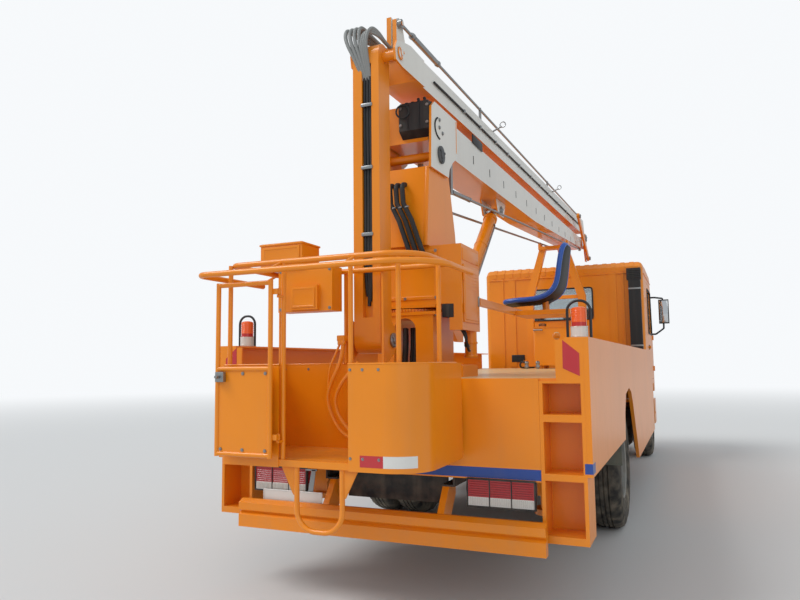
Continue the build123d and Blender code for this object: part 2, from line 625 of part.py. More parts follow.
with BuildPart() as lift_rod:
    rod(link_point(along(LIFT_FOOT, LIFT_HEAD, 0.06)), link_point(along(LIFT_FOOT, LIFT_HEAD, 0.98)), 32)
    cross_rod(LIFT_HEAD, 45, (-EYE_HALF, EYE_HALF))
    cross_rod(LIFT_HEAD, 28, (-EYE_HALF - 5, EYE_HALF + 5), Mode.SUBTRACT)
    side_block((-EYE_HALF - 5, EYE_HALF + 5), (LIFT_HEAD[0] - 60, LIFT_HEAD[0] + 60),
               (LIFT_HEAD[1], LIFT_HEAD[1] + 60), Mode.SUBTRACT)
save(lift_rod, "lift_rod")

# Lower boom: box girder tapering under the cab end, foot plates outside the tower, elbow lugs
LOWER_BOX = [(440, 2935), (3850, 3030), (7640, 3290), (7640, 3436), (440, 3199)]
with BuildPart() as lower_boom:
    side_plate((-LOWER_HALF, LOWER_HALF), LOWER_BOX)
    inner = [(460, 2950), (3850, 3045), (7660, 3305), (7660, 3421), (460, 3186)]
    side_plate((-LOWER_HALF + 12, LOWER_HALF - 12), inner, Mode.SUBTRACT)
    side_block((-LOWER_HALF + 5, LOWER_HALF - 5), (7590, 7600), (3295, 3430))
    foot = [(352, 2722), (705, 2732), (728, 2800), (800, 2868), (889, 2925), (905, 2960), (905, 3213),
            (440, 3199), (378, 3150)]
    lug = [(7400, 3290), (7900, 3330), (7935, 3470), (7915, 3560), (7850, 3590), (7785, 3560), (7740, 3430),
           (7400, 3420)]
    for side in (-1, 1):
        side_plate(sorted((side * 190, side * 206)), foot)
        side_plate(sorted((side * 150, side * 191)), [(700, 2948), (900, 2954), (900, 3195), (700, 3192)])
        side_plate(sorted((side * 150, side * 170)), lug)
        side_plate(sorted((side * (EYE_HALF + 6), side * (EYE_HALF + 22))),
                   [(2420, 2998), (2790, 3010), (2700, 2850), (2500, 2850)])
        side_plate(sorted((side * 170, side * 188)), [(7500, 3320), (7780, 3330), (7780, 3090), (7640, 3080)])
        side_block(sorted((side * 140, side * 180)), (7500, 7700), (3310, 3330))
    cross_rod(BOOM_PIN, PIN_RADIUS, (-207, 207))
    cross_rod(LIFT_HEAD, 26, (-EYE_HALF - 22, EYE_HALF + 22))
    cross_rod(ELBOW_PIN, PIN_RADIUS, (-170, 170))
save(lower_boom, "lower_boom")

# Black valve cover on the boom's foot
with BuildPart() as valve_cover:
    side_plate((-187, 33), [(439, 2960), (375, 3000), (370, 3185), (439, 3200)])
save(valve_cover, "valve_cover")

# Levelling rods under the lower boom, the right one with a turnbuckle
ROD_ENDS = (980, 7450)
BOOM_UNDERSIDE = (2949, 3274.5)
ROD_HEIGHTS = {-118: (2711, 3262), 118: (2650, 3234)}
with BuildPart() as lower_rods:
    for x, heights in ROD_HEIGHTS.items():
        rear, front = [(place, height) for place, height in zip(ROD_ENDS, heights)]
        rod(link_point(rear, x), link_point(front, x), 11)
        for (place, height), top in zip((rear, front), BOOM_UNDERSIDE):
            side_block((x - 16, x + 16), (place - 22, place + 22), (height - 24, top))
        if x < 0:
            rod(link_point(along(rear, front, 0.01), x), link_point(along(rear, front, 0.07), x), 19)
save(lower_rods, "lower_rods")

# Elbow levers beside the boom ends: flat bars with round eyes
LEVER_X = (203, 231)
LEVER_HALF = 46
with BuildPart() as elbow_lever:
    run = Vector(LEVER_TIP[0] - LEVER_PIN[0], LEVER_TIP[1] - LEVER_PIN[1]).normalized()
    edge = (-run.Y * LEVER_HALF, run.X * LEVER_HALF)
    bar = [(LEVER_PIN[0] + edge[0], LEVER_PIN[1] + edge[1]), (LEVER_TIP[0] + edge[0], LEVER_TIP[1] + edge[1]),
           (LEVER_TIP[0] - edge[0], LEVER_TIP[1] - edge[1]), (LEVER_PIN[0] - edge[0], LEVER_PIN[1] - edge[1])]
    for side in (-1, 1):
        reach = sorted((side * LEVER_X[0], side * LEVER_X[1]))
        side_plate(reach, bar)
        for eye in (LEVER_PIN, LEVER_TIP):
            cross_rod(eye, LEVER_HALF, reach)
            cross_rod(eye, 30, sorted((side * (LEVER_X[0] - 8), side * (LEVER_X[1] + 8))))
save(elbow_lever, "elbow_lever")

# Upper boom: slimmer box girder, elbow lugs inside the lower boom's, head cheeks and lever plates
TIE_PIN = (140, 3636)
UPPER_BOX = [(290, 3301), (7740, 3573), (7740, 3806), (290, 3491)]
with BuildPart() as upper_boom:
    side_plate((-UPPER_HALF, UPPER_HALF), UPPER_BOX)
    inner = [(280, 3313), (7750, 3585), (7750, 3793), (280, 3479)]
    side_plate((-UPPER_HALF + 10, UPPER_HALF - 10), inner, Mode.SUBTRACT)
    side_block((-UPPER_HALF + 5, UPPER_HALF - 5), (7700, 7712), (3580, 3795))
    side_block((-UPPER_HALF + 5, UPPER_HALF - 5), (300, 312), (3306, 3486))
    lug = [(7500, 3570), (7780, 3470), (7850, 3440), (7915, 3480), (7925, 3560), (7800, 3806), (7500, 3800)]
    cheek = [(420, 3306), (40, 3290), (-60, 3300), (-75, 3370), (-45, 3428), (60, 3462), (180, 3490), (420, 3492)]
    bridge = [(105, 3440), (105, 3462), (330, 3488), (330, 3470)]
    rod_post = [(110, 3450), (110, 3660), (150, 3685), (200, 3675), (250, 3560), (250, 3470)]
    for side in (-1, 1):
        side_plate(sorted((side * 120, side * 143)), lug)
    side_plate((-143, -129), cheek)
    side_plate((158, 172), cheek)
    side_block((-143, 172), (310, 420), (3310, 3480))
    side_plate((-143, 0), bridge)
    side_plate((-72, -44), rod_post)
    side_block((-34, -2), (110, 140), (3450, 3680))
    cross_rod(ARM_PIN, PIN_RADIUS, (-143, 172))
    cross_rod(TIE_PIN, 14, (-106, -44))
    cross_rod(ELBOW_PIN, PIN_RADIUS + 1, (-150, 150), Mode.SUBTRACT)
save(upper_boom, "upper_boom")

# Tie rod with its turnbuckle above the upper boom
TIE_X = -88
TIE_FRONT = (7600, 3862)
with BuildPart() as upper_rod:
    rod(link_point(TIE_PIN, TIE_X), link_point(TIE_FRONT, TIE_X), 11)
    rod(link_point(along(TIE_PIN, TIE_FRONT, 0.03), TIE_X), link_point(along(TIE_PIN, TIE_FRONT, 0.09), TIE_X), 20)
    cross_rod(TIE_PIN, 28, (TIE_X - 13, TIE_X + 13))
    cross_rod(TIE_PIN, 14.5, (TIE_X - 16, TIE_X + 16), Mode.SUBTRACT)
    side_block((TIE_X - 15, TIE_X + 15), (TIE_FRONT[0] - 40, TIE_FRONT[0] + 40), (3802, TIE_FRONT[1] + 16))
    for share, low in ((0.24, 3561.5), (0.65, 3691.5)):
        place, height = along(TIE_PIN, TIE_FRONT, share)
        side_block((TIE_X - 10, TIE_X + 10), (place - 10, place + 10), (low, height + 16))
save(upper_rod, "upper_rod")

# Fly arm: box section with an open hose channel down its rear face
ARM_X = (-30, 150)
ARM_DEPTH = 80
with BuildPart() as fly_arm:
    block(ARM_X, (ahead(ARM_DEPTH), ahead(-ARM_DEPTH)), (BASKET_PIN[1], ARM_PIN[1]))
    cross_rod(ARM_PIN, ARM_DEPTH, ARM_X)
    cross_rod(BASKET_PIN, ARM_DEPTH, ARM_X)
    block((22, 88), (ahead(-40), ahead(-ARM_DEPTH - 1)), (1700, 3300), Mode.SUBTRACT)
    block((ARM_X[0] + 10, ARM_X[1] - 10), (ahead(ARM_DEPTH - 10), ahead(-30)), (1680, 3240), Mode.SUBTRACT)
    cross_rod(ARM_PIN, PIN_RADIUS + 1, (-60, 200), Mode.SUBTRACT)
    cross_rod(BASKET_PIN, 26, (-60, 200), Mode.SUBTRACT)
save(fly_arm, "fly_arm")

with BuildPart() as arm_hoses:
    for x in (38, 72):
        tube([(x, ahead(-58), 1760), (x, ahead(-58), 3290)], 13, None)
save(arm_hoses, "arm_hoses")

# Basket: floor, closed guard rails, posts, outer hand rail and brackets
CORNER = 200
TUBE = 16
POST = 13


def basket_outline(inset, front):
    """Plan points of a rail, inset from the basket's outer edge."""
    x0, x1 = BASKET_X[0] + inset, BASKET_X[1] - inset
    back = ahead(-BASKET_BACK + inset)
    return x0, x1, ahead(-front), back


POSTS = ((-494, 50), (-494, 330), (-380, 610), (-125, 644), (GATE_HINGE_X, 644), (639, 644), (639, 140))
with BuildPart() as basket_frame:
    x0, x1, near, back = basket_outline(0, BASKET_FRONT)
    with BuildSketch(Plane.XY.offset(BASKET_Z)) as floor:
        with BuildLine():
            Polyline((x0, near), (x1, near), (x1, back), (x0 + CORNER, back))
            RadiusArc((x0 + CORNER, back), (x0, back - CORNER), -CORNER)
            Line((x0, back - CORNER), (x0, near))
        make_face()
    extrude(amount=35)
    x0, x1, near, back = basket_outline(TUBE, BASKET_FRONT + 20)
    tube([((x0 + x1) / 2, near, RAIL_TOP), (x1, near, RAIL_TOP), (x1, back, RAIL_TOP), (x0, back, RAIL_TOP),
          (x0, near, RAIL_TOP), ((x0 + x1) / 2 - 1, near, RAIL_TOP)], TUBE, [60, 60, CORNER, 60])
    for x, back_place in POSTS[1:]:
        rod((x, ahead(-back_place), BASKET_Z + 20), (x, ahead(-back_place), RAIL_TOP), POST)
    x0, x1, near, back = basket_outline(-115, 150)
    low = RAIL_TOP - 60
    tube([(x1, near, low), (x1, back, low), (x0, back, low), (x0, near, low)], TUBE, [60, CORNER + 80])
    for x, y, out_x, out_y in ((x1, near + 40, -130, 0), (300, back, 0, -130), (-150, back, 0, -130),
                               (x0, near + 40, 130, 0)):
        rod((x, y, low), (x + out_x, y + out_y, RAIL_TOP - 4), 8)
    for bracket_x in (-72, 178):
        side_plate((bracket_x, bracket_x + 14),
                   [(-113, 1400), (20, 1480), (60, 1530), (60, 1600), (20, 1650), (-60, 1700), (-60, 1990),
                    (-130, 1990), (-130, 1424), (-113, 1424)])
    cross_rod(BASKET_PIN, 25, (-72, 192))
    for height in (1010, 1780):
        block((GATE_HINGE_X - 8, GATE_HINGE_X + 8), (ahead(-644), ahead(-GATE_HINGE_BACK - 8)),
              (height, height + 14))
        rod((GATE_HINGE_X, ahead(-GATE_HINGE_BACK), height), (GATE_HINGE_X, ahead(-GATE_HINGE_BACK), height + 50), 6)
save(basket_frame, "basket_frame")

# The foot stirrup is one bent bar welded under the floor's rear edge
with BuildPart() as foot_stirrup:
    back = ahead(-BASKET_BACK + 20)
    tube([(200, back, BASKET_Z), (200, back, 560), (-70, back, 560), (-70, back, BASKET_Z)], 14, 110)
save(foot_stirrup, "foot_stirrup")

# Sheet panels round the basket's lower half
with BuildPart() as basket_panels:
    x0, x1, near, back = basket_outline(-3, BASKET_FRONT - 3)
    with BuildSketch(Plane.XY.offset(BASKET_Z - 5)) as skin:
        with BuildLine() as run:
            FilletPolyline((-118, back), (x0, back), (x0, near), (x1, near), (x1, back), (GATE_HINGE_X + 15, back),
                           radius=[CORNER, 4, 4, 4])
        trace(line_width=5)
    extrude(amount=PANEL_TOP - BASKET_Z + 5)
    block((x0 - 2, x0 + 3), (ahead(-30), ahead(-BASKET_FRONT - 10)), (BASKET_Z - 5, PANEL_TOP))
save(basket_panels, "basket_panels")

with BuildPart() as basket_gate:
    y = ahead(-GATE_HINGE_BACK - 30)
    left = GATE_HINGE_X + 32
    right = left + GATE_WIDTH
    for height in (945, 1400, 1860):
        rod((left, y, height), (right, y, height), 13)
    for x in (left, right):
        rod((x, y, 932), (x, y, 1873), 13)
    block((left, right), (y - 3, y + 3), (945, 1400))
    for height in (1026, 1796):
        hinge = (GATE_HINGE_X, ahead(-GATE_HINGE_BACK))
        block((GATE_HINGE_X - 8, left), (y - 12, y - 3), (height, height + 30))
        rod((*hinge, height), (*hinge, height + 30), 11)
        block((GATE_HINGE_X - 8, GATE_HINGE_X + 8), (hinge[1], y - 3), (height, height + 30))
        rod((*hinge, height - 1), (*hinge, height + 31), 6.05, Mode.SUBTRACT)
save(basket_gate, "basket_gate")

with BuildPart() as control_box:
    block((188, 562), (ahead(-165), ahead(-285)), (1735, 2000))
    block((276, 463), (ahead(-284), ahead(-310)), (1744, 1890))
    block((385, 683), (ahead(-100), ahead(-300)), (2000, 2150))
    block((400, 430), (ahead(-124), ahead(-170)), (RAIL_TOP + TUBE + 0.5, 2001))
save(control_box, "control_box")

with BuildPart() as basket_hoses:
    for step in range(3):
        y = ahead(-215 - 34 * step)
        tube([(265, y, 1733), (295, y, 1500), (265, y, 1250), (145, y, 1050), (115, y, 925)], 12, 120)
save(basket_hoses, "basket_hoses")

with BuildPart() as tower_hoses:
    for x in (-15, 30, 75):
        tube([(x, ahead(356), 2620), (x, ahead(300), 2610), (x - 10, ahead(296), 2480), (x - 70, ahead(292), 2360),
              (x - 140, ahead(294), 2150), (x - 140, ahead(351), 2120)], 16, 45)
save(tower_hoses, "tower_hoses")
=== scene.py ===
# %% [markdown]
# # Folding-boom platform truck
# The CAD frame holds every plate, boom and wheel at its true size. This file dresses it: paint,
# rubber, glass and the small fittings that make a working truck look used and real. Everything is
# in metres, in the frame's own axes: the cab at -Y, the basket at +Y, the left side at +X. The truck
# was measured from its tail, so a place is told as (across, distance ahead of the tail, height),
# and a distance below zero lies behind the tail. Directions and shifts use the frame's axes.

# %% Load the frame
import math
import bpy
import bmesh
from mathutils import Matrix, Vector


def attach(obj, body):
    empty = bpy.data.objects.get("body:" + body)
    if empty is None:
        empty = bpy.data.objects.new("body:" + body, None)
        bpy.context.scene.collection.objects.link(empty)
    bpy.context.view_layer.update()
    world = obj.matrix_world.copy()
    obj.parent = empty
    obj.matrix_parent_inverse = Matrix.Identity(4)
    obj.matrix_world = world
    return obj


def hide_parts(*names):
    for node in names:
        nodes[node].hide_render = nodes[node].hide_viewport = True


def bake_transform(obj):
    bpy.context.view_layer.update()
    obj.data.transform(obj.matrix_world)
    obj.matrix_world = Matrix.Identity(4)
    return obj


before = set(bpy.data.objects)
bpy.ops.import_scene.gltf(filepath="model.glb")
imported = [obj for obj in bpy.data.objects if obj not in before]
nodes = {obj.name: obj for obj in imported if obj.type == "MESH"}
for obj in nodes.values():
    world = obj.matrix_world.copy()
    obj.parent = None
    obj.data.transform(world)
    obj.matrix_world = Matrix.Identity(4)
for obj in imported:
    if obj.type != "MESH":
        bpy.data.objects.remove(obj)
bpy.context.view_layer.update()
# Y of the tail plane
TAIL = 3.7635
REARWARD = (0, 1, 0)
SIDES = (-1, 1)
QUARTER = math.pi / 2


def at(spot):
    """A place told from the tail, in the frame's axes."""
    return (spot[0], TAIL - spot[1], spot[2])


# %% [markdown]
# The camera stands behind the tail, a little to the truck's right, and looks slightly upwards.
# Its place and turn were worked out from the straight edges of the body, so the picture frames
# the truck as the photograph does. A matrix is built from three directions: right, up and back.

# %% Camera
YAW, PITCH, ROLL = (math.radians(v) for v in (23.62, 5.46, 0.67))
FOCAL_PIXELS, PICTURE_PIXELS = 662.7, 800
eye = Vector((-1.730, TAIL + 3.675, 1.42))
forward = Vector((math.sin(YAW) * math.cos(PITCH), -math.cos(YAW) * math.cos(PITCH), math.sin(PITCH)))
right = forward.cross(Vector((0, 0, 1))).normalized()
down = forward.cross(right).normalized()
rolled_right = right * math.cos(ROLL) + down * math.sin(ROLL)
rolled_down = down * math.cos(ROLL) - right * math.sin(ROLL)
lens = bpy.data.cameras.new("photo_camera")
lens.sensor_width = 36
lens.lens = FOCAL_PIXELS / PICTURE_PIXELS * lens.sensor_width
lens.clip_end = 200
camera = bpy.data.objects.new("photo_camera", lens)
bpy.context.scene.collection.objects.link(camera)
columns = (rolled_right, -rolled_down, -forward)
camera.matrix_world = Matrix([[c[i] for c in columns] + [eye[i]] for i in range(3)] + [[0, 0, 0, 1]])
bpy.context.scene.camera = camera
print("camera at", tuple(round(v, 3) for v in eye), "lens", round(lens.lens, 2), "mm")

# %% [markdown]
# A studio for a lorry is a big pale floor and a bright even sky, with one soft main light.
# A sky with a plain colour lights all sides, and two wide, weak suns shape the booms. The
# backdrop is the sky itself, and for the camera alone the floor fades into it far off, so that no
# horizon line crosses the truck.

# %% Floor, sky and lamps
def deselect():
    """Clear the selection, so that an operator acts on the new piece only."""
    for thing in list(bpy.context.selected_objects):
        thing.select_set(False)
    bpy.context.view_layer.objects.active = None


def feed(tree, made, values):
    """Give a node's inputs their numbers, colours or other nodes' outputs."""
    for key, value in values.items():
        if isinstance(value, bpy.types.NodeSocket):
            tree.links.new(value, made.inputs[key])
        else:
            made.inputs[key].default_value = value


def node(tree, kind, values=None, **settings):
    """A new shader node with its settings and inputs."""
    made = tree.nodes.new("ShaderNode" + kind)
    for key, value in settings.items():
        setattr(made, key, value)
    feed(tree, made, values or {})
    return made


def plain_nodes(name):
    """A new material with its node tree and its Principled shader."""
    made = bpy.data.materials.new(name)
    made.use_nodes = True
    return made, made.node_tree, made.node_tree.nodes["Principled BSDF"]


HAZE = (0.93, 0.95, 0.97, 1)
deselect()
bpy.ops.mesh.primitive_plane_add(size=160, location=(0, 0, -0.002))
floor = bpy.context.active_object
floor.name = "studio_floor"
floor_paint, tree, shader = plain_nodes("studio_floor")
feed(tree, shader, {"Base Color": (0.66, 0.66, 0.65, 1), "Roughness": 0.85})
far_off = node(tree, "VectorMath", {0: node(tree, "TexCoord").outputs["Object"]}, operation="LENGTH")
fading = node(tree, "MapRange", {"From Min": 9, "From Max": 34, "Value": far_off.outputs["Value"]},
              interpolation_type="SMOOTHSTEP")
fade = node(tree, "Math", {0: fading.outputs["Result"], 1: node(tree, "LightPath").outputs["Is Camera Ray"]},
            operation="MULTIPLY")
haze = node(tree, "Emission", {"Color": HAZE})
horizon = node(tree, "MixShader", {"Fac": fade.outputs["Value"], 1: shader.outputs["BSDF"],
                                   2: haze.outputs["Emission"]})
feed(tree, tree.nodes["Material Output"], {"Surface": horizon.outputs["Shader"]})
floor.data.materials.append(floor_paint)

world = bpy.data.worlds.new("studio_sky")
world.use_nodes = True
bpy.context.scene.world = world
sky = world.node_tree
lit = sky.nodes["Background"]
feed(sky, lit, {"Color": (0.90, 0.95, 1.0, 1), "Strength": 0.62})
seen = node(sky, "Background", {"Color": HAZE, "Strength": 1.0})
blend = node(sky, "MixShader", {"Fac": node(sky, "LightPath").outputs["Is Camera Ray"],
                                1: lit.outputs["Background"], 2: seen.outputs["Background"]})
feed(sky, sky.nodes["World Output"], {"Surface": blend.outputs["Shader"]})


def sun(name, source, strength, softness):
    """A far lamp that shines from the side of source; softness is its width in degrees."""
    data = bpy.data.lights.new(name, "SUN")
    data.energy = strength
    data.angle = math.radians(softness)
    made = bpy.data.objects.new(name, data)
    bpy.context.scene.collection.objects.link(made)
    made.rotation_euler = (-Vector(source)).to_track_quat("-Z", "Y").to_euler()


sun("main_sun", (7, 5, 10), 1.5, 28)
sun("fill_sun", (-8, 10, 5), 0.35, 40)
bpy.context.scene.view_settings.view_transform = "Standard"

# %% [markdown]
# Truck paint is never one flat colour: it fades a little in patches, road dust climbs from below
# and rain draws it down in streaks. One shared node group makes those three things from the
# Object coordinates, so that every painted plate gets them at the same scale. It could be painted
# by hand on each piece, but a group keeps the whole truck alike.

# %% The weathering group
def linear(text):
    """A colour written as on screen, turned into the numbers that a shader wants."""
    values = [int(text[i:i + 2], 16) / 255 for i in (0, 2, 4)]
    return tuple(((v + 0.055) / 1.055) ** 2.4 if v > 0.04045 else v / 12.92 for v in values) + (1,)


def math_node(tree, kind, first, second=None):
    """One arithmetic step on numbers or other nodes' outputs."""
    return node(tree, "Math", {0: first} if second is None else {0: first, 1: second}, operation=kind).outputs[0]


def ranged(tree, value, low, high):
    """Spread a value so that low becomes 0 and high becomes 1."""
    return node(tree, "MapRange", {"From Min": low, "From Max": high, "Value": value}).outputs["Result"]


def noise_of(tree, vector, scale, detail):
    """A soft random pattern."""
    return node(tree, "TexNoise", {"Scale": scale, "Detail": detail, "Vector": vector}).outputs["Fac"]


def mixed(tree, mask, first, second):
    """Mix two colours by a mask."""
    return node(tree, "Mix", {"Factor": mask, "A": first, "B": second}, data_type="RGBA").outputs["Result"]


weather = bpy.data.node_groups.new("weather", "ShaderNodeTree")
for title, kind, value in (("Colour", "Color", (0.8, 0.3, 0.02, 1)), ("Dust Colour", "Color", linear("8F8575")),
                           ("Dust", "Float", 0.3), ("Fade", "Float", 0.08), ("Roughness", "Float", 0.35),
                           ("Grain", "Float", 60.0)):
    weather.interface.new_socket(title, in_out="INPUT", socket_type="NodeSocket" + kind).default_value = value
for title, kind in (("Colour", "Color"), ("Roughness", "Float"), ("Height", "Float")):
    weather.interface.new_socket(title, in_out="OUTPUT", socket_type="NodeSocket" + kind)
given = weather.nodes.new("NodeGroupInput").outputs
place = node(weather, "TexCoord").outputs["Object"]
stretch = node(weather, "Mapping", {"Scale": (9, 9, 0.7), "Vector": place})
patches = noise_of(weather, place, 1.4, 4)
streaks = ranged(weather, noise_of(weather, stretch.outputs["Vector"], 1.6, 5), 0.52, 0.78)
low_down = ranged(weather, node(weather, "SeparateXYZ", {"Vector": place}).outputs["Z"], 1.25, 0.15)
speckle = ranged(weather, noise_of(weather, place, 11, 6), 0.35, 0.75)
dusty = math_node(weather, "ADD", math_node(weather, "MULTIPLY", streaks, 0.35),
                  math_node(weather, "MULTIPLY", low_down, speckle))
dusty = math_node(weather, "MINIMUM", math_node(weather, "MULTIPLY", dusty, given["Dust"]), 0.9)
shift = math_node(weather, "MULTIPLY", math_node(weather, "SUBTRACT", patches, 0.5), given["Fade"])
bright = math_node(weather, "ADD", math_node(weather, "MULTIPLY", shift, 4), 1)
tone = node(weather, "HueSaturation", {"Value": bright, "Color": given["Colour"]})
rougher = math_node(weather, "MULTIPLY", dusty, 0.5)
feed(weather, weather.nodes.new("NodeGroupOutput"),
     {"Colour": mixed(weather, dusty, tone.outputs["Color"], given["Dust Colour"]),
      "Roughness": math_node(weather, "ADD", given["Roughness"], rougher),
      "Height": noise_of(weather, place, given["Grain"], 3)})
print("weather group", len(weather.nodes), "nodes")

# %% [markdown]
# Each finish is the weather group in front of a Principled shader. Gloss paint has a thin clear coat
# and little bump, cast and galvanised parts are metallic and rougher, rubber and plastic are dull.
# A stripe is a band of colour between two heights. The booms are white on their flanks and orange
# above and below: the flank is where a face looks sideways, so its own normal is asked, and no edge
# has to be found. Tyres use the same trick, and so does the deck, whose upward faces are painted pale
# beige as painted sunlight on its top, with some dust.


def finish(name, colour, dust=0.3, rough=0.35, bump=0.05, metal=0.0, coat=0.0, grain=60, glow=None,
           bands=(), faces=None):
    """A weathered material for a record slot. A band is (zones, colour), and a zone is (axis, low, high).
    Faces is (axis, limit, colour) for the faces that look along an axis."""
    made, tree, shader = plain_nodes(name)
    paint = linear(colour)
    spot = node(tree, "TexCoord").outputs
    for zones, stripe in bands:
        mask = None
        for axis, low, high in zones:
            value = node(tree, "SeparateXYZ", {"Vector": spot["Object"]}).outputs[axis[-1]]
            if axis[0] == "|":
                value = math_node(tree, "ABSOLUTE", value)
            inside = math_node(tree, "MULTIPLY", math_node(tree, "GREATER_THAN", value, low),
                               math_node(tree, "LESS_THAN", value, high))
            mask = inside if mask is None else math_node(tree, "MULTIPLY", mask, inside)
        paint = mixed(tree, mask, paint, linear(stripe))
    if faces:
        axis, limit, other = faces
        look = node(tree, "SeparateXYZ", {"Vector": spot["Normal"]}).outputs[axis]
        mask = math_node(tree, "GREATER_THAN", math_node(tree, "ABSOLUTE", look), limit)
        paint = mixed(tree, mask, paint, linear(other))
    worn = node(tree, "Group", {}, node_tree=weather)
    feed(tree, worn, {"Colour": paint, "Dust": dust, "Fade": 0.06, "Roughness": rough, "Grain": grain})
    lift = node(tree, "Bump", {"Strength": bump, "Distance": 0.01, "Height": worn.outputs["Height"]})
    feed(tree, shader, {"Base Color": worn.outputs["Colour"], "Roughness": worn.outputs["Roughness"],
                        "Normal": lift.outputs["Normal"], "Metallic": metal, "Coat Weight": coat})
    if glow:
        feed(tree, shader, {"Emission Color": worn.outputs["Colour"], "Emission Strength": glow})
    return made


ORANGE, BLUE = "EE8B0C", "1D4596"
orange = finish("orange_paint", ORANGE, dust=0.14, rough=0.3, bump=0.04, coat=0.1)
black_frame = finish("black_frame_paint", "1B1C1E", dust=0.75, rough=0.5, bump=0.12, grain=35)
plastic = finish("black_plastic", "1D1E20", dust=0.35, rough=0.55, bump=0.1, grain=220)
blue_seat = finish("blue_plastic", "2257B4", dust=0.12, rough=0.32, bump=0.1, grain=260)
amber = finish("amber_lens", "F0661E", dust=0.05, rough=0.12, bump=0.02, coat=0.5, glow=0.15)
chrome = finish("chrome", "D5D8DA", dust=0.05, rough=0.08, bump=0.01, metal=1.0)
steel = finish("zinc_steel", "9A9C9C", dust=0.25, rough=0.38, bump=0.08, metal=0.9, grain=90)
cast = finish("cast_iron", "5A5C5E", dust=0.6, rough=0.6, bump=0.3, metal=0.4, grain=120)
hose_rubber = finish("hose_rubber", "222426", dust=0.3, rough=0.6, bump=0.15, grain=300)
grey_hose = finish("grey_hose", "8B8D8B", dust=0.2, rough=0.5, bump=0.15, grain=300)
cloth = finish("seat_cloth", "3A3D44", dust=0.1, rough=0.9, bump=0.4, grain=420)
rim_paint = finish("rim_paint", "9FA19F", dust=0.8, rough=0.45, bump=0.06, metal=0.3)
flap_rubber = finish("flap_rubber", "5B6158", dust=0.7, rough=0.75, bump=0.1, grain=120)
tyre_rubber = finish("tyre_rubber", "242322", dust=0.85, rough=0.8, bump=0.2, grain=160,
                     faces=("X", 0.6, "161617"))
boom_white = finish("boom_white_and_orange", ORANGE, dust=0.15, rough=0.34, bump=0.04, coat=0.3,
                    faces=("X", 0.7, "DFDCD3"))
# The deck's upward faces are pale beige: painted sunlight on the top of the deck, with some dust.
deck_paint_with_sunlit_top = finish("deck_paint_with_sunlit_top", ORANGE, dust=0.3, rough=0.4, bump=0.06, coat=0.1,
                    faces=("Z", 0.7, "D9B27C"))
lamp_lens = finish("lamp_lens", "B0121C", dust=0.08, rough=0.15, bump=0.02, coat=0.5,
                   bands=(((("Z", 0.0, 0.668),), "D9D6D0"),))
panel_paint = finish("rear_panel_paint", ORANGE, dust=0.14, rough=0.32, bump=0.04, coat=0.1,
                     bands=(((("Z", 0.773, 0.832),), BLUE),))
corner_paint = finish("corner_paint", ORANGE, dust=0.14, rough=0.32, bump=0.04, coat=0.1,
                      bands=(((("Z", 0.822, 0.877), ("|X", 1.183, 1.3), ("Y", TAIL - 0.1, TAIL + 0.1)), BLUE),
                             ((("Z", 1.553, 1.9),), "1C1D1F")))
red_film = finish("red_reflector", "C0202A", dust=0.15, rough=0.22, bump=0.15, coat=0.6, grain=500)
white_film = finish("white_reflector", "DEDDD8", dust=0.15, rough=0.22, bump=0.15, coat=0.6,
                    grain=500)
clear_rib = finish("clear_lens_ribs", "CFCDC6", dust=0.1, rough=0.12, bump=0.02, coat=0.6)
red_rib = finish("red_lens_ribs", "8E0C16", dust=0.1, rough=0.12, bump=0.02, coat=0.6)
beacon_lens = finish("beacon_lens", "E8601C", dust=0.05, rough=0.14, bump=0.02, coat=0.5, glow=0.12,
                     bands=(((("Z", 1.5, 1.618),), "C9C8C3"), ((("Z", 1.618, 1.642),), "B32018")))

tread_plate = finish("tread_plate", "E28A14", dust=0.45, rough=0.4, coat=0.1)
tree = tread_plate.node_tree
turn = node(tree, "Mapping", {"Rotation": (0, 0, math.radians(45)), "Scale": (28, 60, 1),
                              "Vector": node(tree, "TexCoord").outputs["Object"]})
lozenge = node(tree, "TexChecker", {"Scale": 1, "Vector": turn.outputs["Vector"]})
raised = node(tree, "Bump", {"Strength": 0.5, "Distance": 0.004, "Height": lozenge.outputs["Fac"]})
feed(tree, tree.nodes["Principled BSDF"], {"Normal": raised.outputs["Normal"]})

window, tree, shader = plain_nodes("window_glass")
worn = node(tree, "Group", {}, node_tree=weather)
feed(tree, worn, {"Colour": linear("CBD8DA"), "Dust": 0.1, "Roughness": 0.03})
feed(tree, shader, {"Base Color": worn.outputs["Colour"], "Roughness": worn.outputs["Roughness"],
                    "Transmission Weight": 0.92, "IOR": 1.45, "Alpha": 0.6})
print("finishes", len(bpy.data.materials))

# %% [markdown]
# Now every CAD node gets its finish. A table of node names keeps the choice in one place, and
# the names it leaves over are painted orange, as the truck's body is.

# %% Dress the CAD nodes
FINISHED = (
    (black_frame, "chassis_frame front_axle rear_axle fuel_tank"), (cast, "knuckle_left knuckle_right engine_block"),
    (window, "cab_glass"), (cloth, "cab_interior"), (plastic, "front_grille cab_fittings valve_cover"),
    (chrome, "headlamps lift_rod"), (amber, "beacons"), (panel_paint, "rear_panel"), (lamp_lens, "tail_lamps"),
    (corner_paint, "tail_frames side_wall_left side_wall_right"), (blue_seat, "operator_seat"),
    (boom_white, "lower_boom upper_boom"), (steel, "lower_rods upper_rod"), (hose_rubber, "arm_hoses tower_hoses"),
    (flap_rubber, "mud_flaps"), (deck_paint_with_sunlit_top, "deck"),
    (tyre_rubber, "tyre_front_left tyre_front_right tyre_rear_left tyre_rear_right"),
    (rim_paint, "rim_front_left rim_front_right rim_rear_left rim_rear_right"))
finish_of = {name: material for material, names in FINISHED for name in names.split()}
for name, piece in nodes.items():
    for place in piece.material_slots:
        place.material = finish_of.get(name, orange)
nodes["beacons"].material_slots[0].material = beacon_lens
print("dressed", len(nodes), "nodes,", sum(n not in finish_of for n in nodes), "of them orange")

